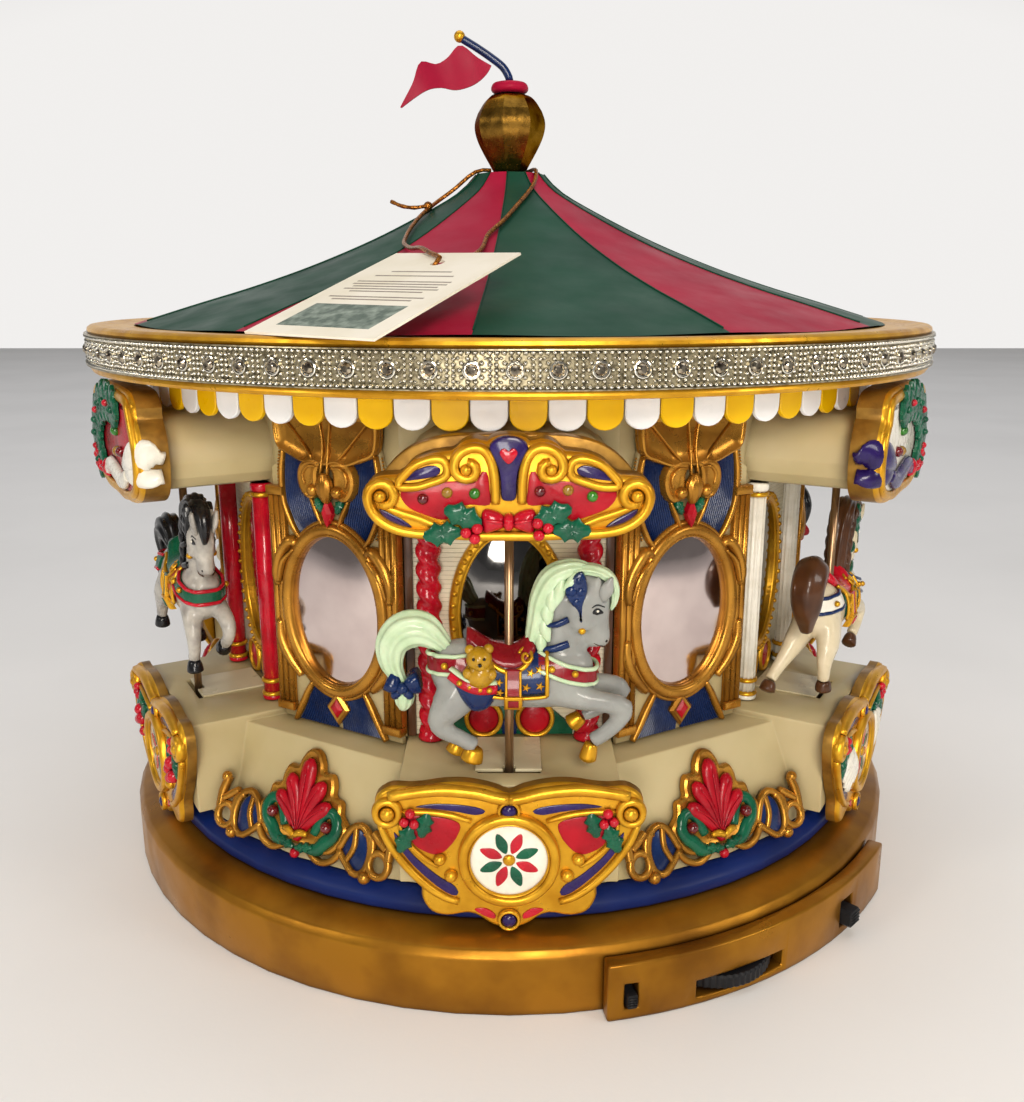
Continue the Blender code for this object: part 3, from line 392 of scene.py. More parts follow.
@dataclass(frozen=True)
class Finish:
    """A painted, moulded or plated surface.

    Attributes:
        name: what the real surface is.
        colour: its main colour.
        shade: the colour of its uneven patches.
        corner_shade: painted shade, a darker colour put into its corners where ambient occlusion finds them,
            or nothing.
        roughness: how dull it is.
        metallic: 1 for metal and metallic paint.
        coat: clear gloss over it.
        patch: size of the uneven patches.
        grain: size of the fine unevenness that breaks up its gloss.
        depth: how deep that is.
        reach: how far from a corner the painted shade reaches.
        glow: how much light passes just under the surface.
        shine: the strength of its own reflection, 0.5 for bare polished plastic and less for paint.
    """

    name: str
    colour: str
    shade: str
    corner_shade: str = ""
    roughness: float = 0.35
    metallic: float = 0.0
    coat: float = 0.0
    patch: float = 16.0
    grain: float = 1.2
    depth: float = 0.03
    reach: float = 2.0
    glow: float = 0.0
    shine: float = 0.22

    def material(self) -> bpy.types.Material:
        """The finish as a material, made once."""
        made = bpy.data.materials.get(self.name)
        if made is None:
            made = bpy.data.materials.new(self.name)
            made.use_nodes = True
            made.node_tree.nodes.clear()
            made.diffuse_color = linear(self.colour)
            self.dress(made.node_tree)
        return made

    def colouring(self, tree: Tree, place: Socket) -> Socket:
        """The colour all over: uneven patches, then painted shade in the corners."""
        lumps = node(tree, "ShaderNodeTexNoise", {"Vector": place, "Scale": PER_METRE / self.patch,
            "Detail": 4.0})
        share = node(tree, "ShaderNodeMapRange", {"Value": lumps, "From Min": 0.4, "From Max": 0.68})
        colour = node(tree, "ShaderNodeMix", {0: share, 6: linear(self.colour), 7: linear(self.shade)}, 2,
            data_type="RGBA")
        # Painted shade: the recess colour is mixed in where ambient occlusion finds corners and creases.
        if self.corner_shade:
            near = node(tree, "ShaderNodeAmbientOcclusion", {"Distance": self.reach * MM}, "AO", samples=6)
            share = node(tree, "ShaderNodeMapRange", {"Value": near, "From Min": 0.25, "From Max": 0.85,
                "To Min": 0.9, "To Max": 0.0})
            colour = node(tree, "ShaderNodeMix", {0: share, 6: colour, 7: linear(self.corner_shade)}, 2,
                data_type="RGBA")
        return colour

    def dress(self, tree: Tree) -> None:
        """Put the shader, its colour, its gloss and its fine unevenness into the tree."""
        place = node(tree, "ShaderNodeTexCoord", {}, "Object")
        fine = node(tree, "ShaderNodeTexNoise", {"Vector": place, "Scale": PER_METRE / self.grain,
            "Detail": 3.0})
        broad = node(tree, "ShaderNodeTexNoise", {"Vector": place, "Scale": PER_METRE / (self.patch * 0.4),
            "Detail": 5.0})
        rough = node(tree, "ShaderNodeMapRange", {"Value": broad, "From Min": 0.3, "From Max": 0.7,
            "To Min": self.roughness * 0.8, "To Max": self.roughness * 1.25})
        bump = node(tree, "ShaderNodeBump", {"Height": fine, "Distance": self.depth * MM, "Strength": 1.0})
        tint = self.shade if self.corner_shade and self.metallic == 1.0 else "ffffff"
        shader = node(tree, "ShaderNodeBsdfPrincipled", {"Base Color": self.colouring(tree, place),
            "Metallic": self.metallic, "Roughness": rough, "Normal": bump, "Coat Weight": self.coat,
            "Coat Roughness": 0.08, "Subsurface Weight": self.glow, "Subsurface Scale": 0.002,
            "Specular IOR Level": self.shine, "Specular Tint": linear(tint)})
        node(tree, "ShaderNodeOutputMaterial", {"Surface": shader})


@dataclass(frozen=True)
class Enamel(Finish):
    """Glossy modelling enamel brushed on by hand."""

    roughness: float = 0.28
    coat: float = 0.3
    patch: float = 6.0
    reach: float = 0.8


# Bronze-gold metallic paint sprayed on ABS: soft broad highlights, and painted shade in brown only in the
# tight corners
GOLD = Finish("gold_paint_on_abs", "dda62c", "c68c1e", "6e430f", 0.33, 0.7, patch=7.0, reach=0.9)
# A darker copy of the gold for the sides of the castings: painted shade
SHADED_GOLD = Finish("shaded_side_gold", "9a7330", "6f4f20", "3a240c", 0.4, 0.6, patch=6.0, reach=1.5)
# A browner bronze paint on the frames of the centre
FRAME_GOLD = Finish("bronze_paint_on_abs", "bd8633", "946422", "6e4716", 0.28, 0.75, patch=12.0, reach=0.6)
# The same paint on the base, thinner and rubbed dull
BASE_GOLD = Finish("rubbed_gold_paint", "a9741f", "7d5014", "4a2a0a", 0.34, 0.75, patch=26.0, reach=2.5,
    depth=0.02)
# Moulded cream ABS: satin, a little yellowed, with painted shade in the corners
CREAM = Finish("cream_abs", "beaf86", "b0a074", "6d5c39", 0.42, patch=40.0, reach=6.0, depth=0.015, glow=0.05)
PLATE = Finish("pale_cream_abs", "cfc5a5", "c4b996", "8d7d55", 0.3, patch=30.0, reach=1.5, depth=0.01)
SIDING = Finish("cream_siding_abs", "ece5cf", "dfd5b4", "8d815c", 0.45, patch=20.0, reach=0.8, depth=0.01)
# Enamels of the castings, the trappings and the horses
CRIMSON = Enamel("crimson_enamel", "ae0a1f", "940819", "4a0612", 0.3, coat=0.1)
GREEN = Enamel("green_enamel", "0c5a3e", "084832", "04241a", 0.26)
PURPLE = Enamel("purple_enamel", "28175a", "201147", "0e0828", 0.26)
NAVY = Enamel("navy_enamel", "0f2858", "0b1e46", "050c22", 0.26)
WHITE = Enamel("white_enamel", "ece8dc", "ddd8c8", "8f8874")
MINT = Enamel("mint_enamel", "c5d8b5", "b4cca4", "8aa67c", patch=5.0, reach=1.0, glow=0.08)
BLACK = Enamel("black_enamel", "151518", "0e0e10", "040405", reach=2.0)
BROWN = Enamel("brown_enamel", "50301a", "3f2412", "1b0e06", 0.34, reach=1.0)
OCHRE = Enamel("ochre_enamel", "b3881a", "966e10", "4d3606", 0.3, patch=4.0, reach=2.0)
MAROON = Enamel("maroon_enamel", "86101c", "6c0c16", "33060b")
BRIGHT_RED = Enamel("red_enamel", "c00f26", "a40c20", "560612", 0.24, coat=0.4)
GREY_COAT = Enamel("grey_enamel", "979893", "868784", "5d5d5a", 0.3, patch=9.0, reach=1.4, glow=0.04)
DAPPLE_COAT = Enamel("dappled_grey_enamel", "b9b4aa", "8f8a84", "504c48", 0.3, patch=5.0, reach=1.6)
PALE_COAT = Enamel("pale_grey_enamel", "c6c4c0", "b3b1ad", "7a7875", 0.3, patch=9.0, reach=1.4)
CREAM_COAT = Enamel("cream_enamel", "dccfb2", "cdbf9d", "8f7b56", 0.3, patch=9.0, reach=1.4)
BAY_COAT = Enamel("chestnut_enamel", "7a4526", "683819", "33190a", 0.3, patch=9.0, reach=1.4)
# Coloured ABS sheet of the tent: satin with faint flow marks
TENT_GREEN = Finish("green_abs", "0e4531", "0b3a2a", "06231a", 0.42, patch=35.0, depth=0.012, shine=0.12)
TENT_RED = Finish("crimson_abs", "aa0f36", "960d30", "500a1c", 0.42, patch=35.0, depth=0.012, shine=0.12)
STEP_BLUE = Finish("navy_abs", "0f2460", "0c1b4c", "060c28", 0.38, patch=30.0, depth=0.012)
TAB_YELLOW = Finish("yellow_abs", "f6c60a", "edb902", "b88600", 0.32, coat=0.2, patch=12.0, depth=0.01)
TAB_WHITE = Finish("white_abs", "f8fbfd", "f0f4f7", "a2aab2", 0.32, coat=0.2, patch=12.0, depth=0.01)
# Vacuum-plated silver beads, over a darker plate that paints the shade in the gaps between them
PLATING = Finish("silver_plating", "fffbf0", "f6efdc", "14110b", 0.3, 0.55, patch=2.4, reach=0.5, depth=0.008)
SHADED_PLATING = Finish("shaded_plating", "b5aa8c", "6a614c", "14110b", 0.3, 0.8, patch=1.4, reach=0.8)
# Dark antiqued gold plating of the finial
ANTIQUE = Finish("antique_gold_plating", "a67c34", "735220", "2c1c0a", 0.26, 1.0, patch=5.0, reach=2.0)
BRONZE = Finish("bronze_rod", "86603c", "583b22", "2a1a0e", 0.32, 1.0, patch=1.6, reach=1.0, depth=0.04)
# Silvered styrene mirror, and a darker copy of it, painted shade for the mirror at the back of a bay
MIRROR = Finish("silvered_mirror", "dccbc6", "cfbdb9", roughness=0.09, metallic=1.0, patch=12.0, depth=0.0)
SHADED_MIRROR = Finish("shaded_mirror", "6b6968", "565453", roughness=0.05, metallic=1.0, patch=12.0, depth=0.0)
JEWEL = Finish("silver_stone", "c4b8a2", "4e4238", roughness=0.06, metallic=1.0, patch=1.2, depth=0.0)
RUBY = Finish("ruby_jewel", "6a0610", "4c040c", roughness=0.06, coat=1.0, patch=2.0, depth=0.0)
AMBER = Finish("amber_jewel", "96701a", "7a560e", roughness=0.06, coat=1.0, patch=2.0, depth=0.0)
EMERALD = Finish("emerald_jewel", "2f7a20", "225e14", roughness=0.06, coat=1.0, patch=2.0, depth=0.0)
SATIN_BLACK = Finish("black_abs", "141416", "1c1c1f", roughness=0.42, patch=8.0, grain=0.5, depth=0.02)
CARD = Finish("tag_card", "efe8d8", "e6dec9", roughness=0.62, patch=14.0, grain=0.5, depth=0.02)
CARD_RULE = Finish("printed_rule", "8e8478", "a09688", roughness=0.6, patch=1.0)
CARD_BLOCK = Finish("printed_block", "5c6a60", "94a094", roughness=0.6, patch=3.0)
TINSEL = Finish("tinsel_cord", "b06f2c", "5c330e", roughness=0.28, metallic=0.85, patch=0.9, grain=0.5,
    depth=0.25)


@dataclass
class Piece:
    """One object of the carousel, gathered from shells in several finishes."""

    name: str
    body: str = "carousel"
    stands_for: tuple[str, ...] = ()
    shells: list[Shell] = field(default_factory=list)
    picks: list[Array] = field(default_factory=list)
    finishes: list[Finish] = field(default_factory=list)

    def split(self, shell: Shell, pick: Array, *finishes: Finish) -> "Piece":
        """Add a shell in several finishes, with each face's own number in pick."""
        self.finishes += [finish for finish in finishes if finish not in self.finishes]
        self.shells.append(shell)
        self.picks.append(np.array([self.finishes.index(finish) for finish in finishes])[pick])
        return self

    def add(self, finish: Finish, *shells: Shell) -> "Piece":
        """Add shells in one finish."""
        for shell in shells:
            self.split(shell, np.zeros(len(shell.sizes), int), finish)
        return self

    def pair(self, finish: Finish, *halves: Shell, flip: Sequence[float] = (-1.0, 1.0, 1.0)) -> "Piece":
        """Add shells and their mirror images, across the arm's middle unless flip says otherwise."""
        return self.add(finish, *(shell for half in halves for shell in (half,
            half.moved(lambda p: p * flip))))

    def placed(self, name: str, place: Place, *stands_for: str) -> "Piece":
        """The same piece under another name, with its points put through a function."""
        return replace(self, name=name, stands_for=stands_for, shells=[shell.moved(place) for shell in
            self.shells])

    def make(self) -> bpy.types.Object:
        """Write the shells into one mesh object that rides on its body."""
        mesh = bpy.data.meshes.new(self.name)
        write(mesh, self.shells)
        mesh.polygons.foreach_set("material_index", np.concatenate(self.picks))
        mesh.shade_smooth()
        mesh.set_sharp_from_angle(angle=math.radians(SHARP_DEGREES))
        soft = np.concatenate([np.full(len(shell.corners), shell.soft) for shell in self.shells])
        if soft.any():
            edges, keep = np.empty(len(mesh.loops), int), np.empty(len(mesh.edges), bool)
            mesh.loops.foreach_get("edge_index", edges)
            mark = mesh.attributes.get("sharp_edge") or mesh.attributes.new("sharp_edge", "BOOLEAN", "EDGE")
            mark.data.foreach_get("value", keep)
            keep[edges[soft]] = False
            mark.data.foreach_set("value", keep)
        for finish in self.finishes:
            mesh.materials.append(finish.material())
        made = stand(self.name, mesh)
        settle(made, self.body, *self.stands_for)
        return made


def write(mesh: bpy.types.Mesh, shells: Sequence[Shell]) -> None:
    """Put closed shells into an empty mesh and turn each one's faces outward."""
    starts = np.cumsum([0] + [len(shell.points) for shell in shells])
    corners = np.concatenate([shell.corners + start for shell, start in zip(shells, starts)])
    sizes = np.concatenate([shell.sizes for shell in shells])
    mesh.vertices.add(int(starts[-1]))
    mesh.vertices.foreach_set("co", np.concatenate([shell.points for shell in shells]).ravel() * MM)
    mesh.loops.add(len(corners))
    mesh.loops.foreach_set("vertex_index", corners)
    mesh.polygons.add(len(sizes))
    mesh.polygons.foreach_set("loop_start", np.concatenate([[0], np.cumsum(sizes)[:-1]]))
    mesh.update(calc_edges=True)
    bm = bmesh.new()
    bm.from_mesh(mesh)
    bmesh.ops.recalc_face_normals(bm, faces=bm.faces)
    bm.to_mesh(mesh)
    bm.free()


def stand(name: str, data: bpy.types.ID) -> bpy.types.Object:
    """Put new data into the scene as an object."""
    made = bpy.data.objects.new(name, data)
    bpy.context.scene.collection.objects.link(made)
    return made


def finished(made: bpy.types.Object) -> bpy.types.Mesh:
    """Keep what an object's modifiers make as its own mesh, shaded smooth."""
    mesh = bpy.data.meshes.new_from_object(made.evaluated_get(bpy.context.evaluated_depsgraph_get()))
    made.modifiers.clear()
    made.data = mesh
    mesh.shade_smooth()
    return mesh


def settle(made: bpy.types.Object, body: str, *stands_for: str) -> None:
    """Make a piece ride on its body and stand for its CAD nodes."""
    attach(made, body)
    if stands_for:
        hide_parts(*stands_for)
    made.data.update()
    LOG.info("%s rides on %s, %d faces", made.name, body, len(made.data.polygons))


# The base
@dataclass
class Base:
    """Gold base, control panel, navy step and cream mouldings, softened from their CAD nodes."""

    edge: float = 0.5
    panel_edge: float = 0.7
    deck: float = 62.0

    def softened(self, node_name: str, finish: Finish, edge: float) -> None:
        """Make a merged copy of a CAD node's mesh, its edges rounded this wide."""
        mesh = bpy.data.meshes.new(f"{node_name}_shell")
        bm = bmesh.new()
        bm.from_mesh(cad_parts[node_name].data)
        bmesh.ops.remove_doubles(bm, verts=bm.verts, dist=0.00002)
        bmesh.ops.recalc_face_normals(bm, faces=bm.faces)
        bmesh.ops.dissolve_limit(bm, angle_limit=math.radians(0.6), verts=bm.verts, edges=bm.edges)
        bm.to_mesh(mesh)
        bm.free()
        mesh.materials.append(finish.material())
        made = stand(f"{node_name}_shell", mesh)
        bevel = made.modifiers.new("rounded_edges", "BEVEL")
        bevel.width, bevel.segments, bevel.use_clamp_overlap = edge * MM, 2, True
        bevel.limit_method, bevel.angle_limit = "ANGLE", math.radians(28.0)
        finished(made).set_sharp_from_angle(angle=math.radians(SHARP_DEGREES))
        settle(made, "carousel", node_name)

    def build(self) -> None:
        """Make the five fixed mouldings, and a thin plate round the slot in each deck."""
        self.softened("base_housing", BASE_GOLD, self.edge)
        self.softened("control_panel", BASE_GOLD, self.panel_edge)
        self.softened("blue_step_ring", STEP_BLUE, self.edge)
        self.softened("platform", CREAM, self.edge)
        self.softened("centre_drum", CREAM, self.edge)
        outline = np.array([(-9.2, 97), (8.8, 97), (8.8, 117.6), (1.7, 117.6), (1.7, 115.4), (-1.7, 115.4),
            (-1.7, 117.6), (-9.2, 117.6)])
        plate = relief(outline, [(0, self.deck - 0.3), (0, self.deck + 0.35), (0.15, self.deck + 0.5)])
        plate.points = plate.points[:, [0, 2, 1]]
        plates = Piece("slot_plates")
        for k in range(BAYS):
            plates.add(PLATE, plate.moved(on_arm(k * ARM_STEP)))
        plates.make()


@dataclass
class Controls:
    """The volume wheel and the two sliding switches."""

    wheel_radius: float = 18.0
    wheel_centre: float = 125.8
    wheel_azimuth: float = 27.0
    wheel_height: float = 4.8
    wheel_half: float = 2.0
    teeth: int = 60
    tooth: float = 0.35

    def wheel(self) -> None:
        """A disc whose rim is r = radius - tooth * (1 - cos(teeth * angle)) / 2."""
        angle = np.linspace(0.0, 2 * math.pi, self.teeth * 6, endpoint=False)
        rim = self.wheel_radius - self.tooth * (1 - np.cos(self.teeth * angle)) / 2
        edge = np.array([(0.2, -1.0), (0.97, -1.0), (1.0, -0.72), (1.0, 0.72), (0.97, 1.0), (0.2, 1.0)])
        share, up = edge.T[..., None]
        rows = np.stack([rim * share * np.cos(angle), rim * share * np.sin(angle),
            self.wheel_half * up + 0 * angle], -1)
        middle = on_arm(self.wheel_azimuth)(np.array([0.0, self.wheel_height, self.wheel_centre]))
        Piece("volume_thumbwheel", "wheel", ("volume_wheel",)).add(SATIN_BLACK, skin(rows + middle)).make()

    def switch(self, name: str, body: str, node_name: str, azimuth: float, half: float, low: float,
            high: float, reach: float) -> None:
        """A ribbed slider with rounded corners that stands out of its slot."""
        cut = min(half, high - low) * 0.3
        right = [(half - cut, low), (half, low + cut), (half, high - cut), (half - cut, high)]
        outline = np.array(right + [(-x, y) for x, y in right[::-1]])
        piece = Piece(name, body).add(SATIN_BLACK, moulding(outline, 134, reach - 0.4, 0.4))
        for z in np.linspace(low + 1.0, high - 1.0, 4):
            groove = [(x, z, reach - 0.5, 0.3, 0.5) for x in (-half * 0.8, half * 0.8)]
            piece.add(SATIN_BLACK, tube(groove, 2, 8))
        piece.placed(name, on_arm(azimuth), node_name).make()

    def build(self) -> None:
        """Make the wheel and both switches."""
        self.wheel()
        self.switch("song_slider", "song_knob", "song_switch", 13.2, 1.5, 3.8, 8.0, 143.3)
        self.switch("power_slider", "power_knob", "power_switch", 45.5, 3.0, 3.4, 8.6, 145.2)


# The top
@dataclass
class Canopy:
    """Tent, gold rim, jewelled band and scalloped valance."""

    gores: int = 12
    gore_start: float = -4.0
    steps_per_gore: int = 14
    band_radius: float = 139.4
    jewels: int = 90
    band_low: float = 165.8
    band_high: float = 175.2
    tabs: int = 80
    tab_radius: float = 122.0
    tab_tip: float = 154.3
    tab_top: float = 163.2

    def tent(self) -> None:
        """Gores in two colours, each a little hollow between raised seams.

        The tent's slope keeps its radius, and its height drops by 0.5 * radius / 125 * (1 - cos(2 pi x)) / 2
        across a gore, where x goes from 0 to 1 from seam to seam.
        """
        slope = curve([(11.5, 225.7), (15, 221.9), (20, 218.2), (34.6, 210.4), (51, 202.6), (71, 194.6),
            (90, 188.2), (107, 183.2), (125, 177.7)], 40)
        segments = self.gores * self.steps_per_gore
        shell = lathe(slope, segments, self.gore_start)
        x = np.arange(segments) % self.steps_per_gore / self.steps_per_gore
        shell.points[:, 2] -= (0.25 * (1 - np.cos(2 * math.pi * x))[None] * slope[:, :1] / 125.0).ravel()
        faces = np.arange(len(shell.sizes))
        gore = faces % segments // self.steps_per_gore
        piece = Piece("tent_shell", stands_for=("canopy_tent",))
        piece.split(shell, np.where(faces < (len(slope) - 1) * segments, gore % 2, 0), TENT_GREEN, TENT_RED)
        seam = np.column_stack([np.zeros(40), slope[:, 1] + 0.02, slope[:, 0], np.full(40, 0.4),
            np.full(40, 0.22)])
        for k in range(self.gores):
            place = on_arm(self.gore_start + k * 360.0 / self.gores)
            piece.add(TENT_GREEN, tube(seam[::2], 40, 6, up=(1, 0, 0)).moved(place))
        piece.make()

    def rim(self) -> None:
        """The gold rim: a ledge round the tent, a rounded lip above the jewels and a thinner one below."""
        profile = [(100, 163.5), (136.6, 163.5), (138.2, 163.8), (138.7, 164.6), (138.4, 165.4),
            (138.3, 166.2), (138.3, 174.6), (138.6, 175.4), (139, 176), (138.8, 176.8), (138, 177.4),
            (136.6, 177.6), (134.8, 177.3), (133.8, 177), (100, 177.2)]
        Piece("rim_shell", stands_for=("canopy_rim",)).add(GOLD, lathe(profile, 240)).make()

    def band(self) -> None:
        """A plated strip: in each cell a cut stone in a ring of beads, with rows of beads round it."""
        r, low, high = self.band_radius, self.band_low, self.band_high
        strip = [(r - 0.6, low), (r + 0.5, low), (r + 0.6, low + 0.3), (r - 0.2, low + 0.5),
            (r - 0.2, high - 0.5), (r + 0.6, high - 0.3), (r + 0.5, high), (r - 0.6, high)]
        # The strip under the beads is the darker plate: painted shade in the gaps.
        piece = Piece("jewel_strip", stands_for=("jewel_band",)).add(SHADED_PLATING, lathe(strip, 240))
        axes = ring_axes(np.arange(self.jewels) * 360.0 / self.jewels + 0.6)
        pitch = 2 * math.pi * r / self.jewels

        def repeated(shell: Shell, x: float = 0.0, y: float = 0.0) -> Shell:
            """The shell in every cell, at this place from the cell's middle."""
            return copies(shell, np.array([x, (low + high) / 2 + y, r - 0.2]) @ axes, axes)

        row = (np.arange(6) - 2.5) * pitch / 6
        places = [(x, y, 0.86) for x in row for y in (-3.95, 3.95)]
        side, level = (-pitch / 2 + 0.75, pitch / 2 - 0.75), (-2.5, -1.25, 0.0, 1.25, 2.5)
        places += [(x, y, 0.68) for x in side for y in level]
        places += [(x, y, 0.72) for x, y in oval(0, 0, 2.8, 2.7, 10)]
        places += [(x, y, 0.5) for x in (-3.1, 3.1) for y in (-2.7, 2.7)]
        piece.add(PLATING, *(repeated(bead(size, 3, 5), x, y) for x, y, size in places))
        steps = ((2.15, -0.2), (2.15, 0.6), (1.9, 0.7), (1.75, 0.3))
        rings = [np.column_stack([oval(0, 0, w, w, 12), np.full(12, out)]) for w, out in steps]
        piece.add(PLATING, repeated(skin(np.stack(rings)))).add(JEWEL, repeated(brilliant(1.85, 1.35))).make()

    def valance(self) -> None:
        """Tabs with round ends, yellow and white by turns, hung from a thin ring."""
        half = math.pi * self.tab_radius / self.tabs * 0.965
        drop = half * 0.86
        bottom = np.radians(np.linspace(180.0, 360.0, 11))
        arc = np.column_stack([half * np.cos(bottom), self.tab_tip + drop + drop * np.sin(bottom)])
        outline = np.concatenate([[(-half, self.tab_top)], arc, [(half, self.tab_top)]])
        tab = relief(outline, [(0, -1.2), (0, -0.25), (0.25, 0)])
        axes = ring_axes((np.arange(self.tabs) + 0.5) * 360.0 / self.tabs)
        piece = Piece("valance_tabs", stands_for=("scallop_valance",))
        for turn, finish in enumerate((TAB_YELLOW, TAB_WHITE)):
            piece.add(finish, copies(tab, axes[turn::2, 2] * self.tab_radius, axes[turn::2]))
        piece.make()

    def build(self) -> None:
        """Make the four pieces of the canopy."""
        self.tent()
        self.rim()
        self.band()
        self.valance()


@dataclass
class Finial:
    """The gold bulb, its red collar, the bent flag staff and the pennant."""

    facets: int = 8
    turn: float = 34.0
    staff: float = 1.3

    def build(self) -> None:
        """Make the four pieces on the tip."""
        side = curve([(5.4, 226.3), (7.3, 229.6), (9.4, 233.2), (11.2, 236.9), (12.1, 240.2), (12, 242.8),
            (11, 245.6)], 24)
        shoulder = curve([(10.8, 245.9), (9, 248.6), (7.2, 250.3), (5.4, 251)], 8)
        bulb = lathe(np.concatenate([side, shoulder]), self.facets, self.turn)
        Piece("finial_bulb", stands_for=("finial_ball",)).add(ANTIQUE, bulb).make()
        ring = curve([(5, 251.3), (6.1, 252.2), (6.2, 253.4), (5.4, 254.6), (3.6, 255)], 12)
        Piece("finial_cap", stands_for=("finial_collar",)).add(TENT_RED, lathe(ring, 40)).make()
        route = [(0, 255.3), (-0.4, 256.8), (-2.2, 259.6), (-5.6, 262.2), (-10.6, 265.4), (-16.2, 268.6)]
        staff = tube([(x, 0, z, self.staff, self.staff) for x, z in route], 26, 14, up=(0, 1, 0))
        tip = bead(1.9, 8, 14).moved(lambda p: p + (-16.6, 0.0, 269.0))
        Piece("flag_staff", stands_for=("flag_pole",)).add(NAVY, staff).add(GOLD, tip).make()
        self.pennant()

    def pennant(self) -> None:
        """A wavy two-tailed flag: y = 0.9 * sin(2 pi s / 0.62), s being the share of the way to its tip."""
        top = curve([(-6.1, 260.1), (-10.6, 262.6), (-16.4, 266.4), (-20.6, 262.4), (-24.4, 260.4),
            (-29.8, 261.2), (-32.6, 254.6), (-36.8, 247.2)], 28)
        low = curve([(-6.3, 259.6), (-7.6, 257.6), (-10.4, 255.2), (-14, 253.4), (-18.4, 252.4),
            (-23.4, 253.2), (-28.6, 252.2), (-36.4, 247)], 28)
        share = np.linspace(0.0, 1.0, 9)[None, :, None]
        flat = top[:, None] * (1 - share) + low[:, None] * share
        s = np.linspace(0.0, 1.0, 28)[:, None]
        wave = 0.9 * np.sin(2 * math.pi * s / 0.62) * np.sin(math.pi * s) + 0 * share[..., 0]
        front, back = (np.stack([flat[..., 0], wave + side, flat[..., 1]], -1) for side in (-0.45, 0.45))
        flag = skin(np.concatenate([front, back[:, ::-1]], 1))
        Piece("pennant_flag", stands_for=("pennant",)).add(TENT_RED, flag).make()


# The gold castings on the arms
class Side(Enum):
    """Which version of the castings an arm carries."""

    FRONT = "bow"
    RIGHT = "plume"
    LEFT = "ribbon"


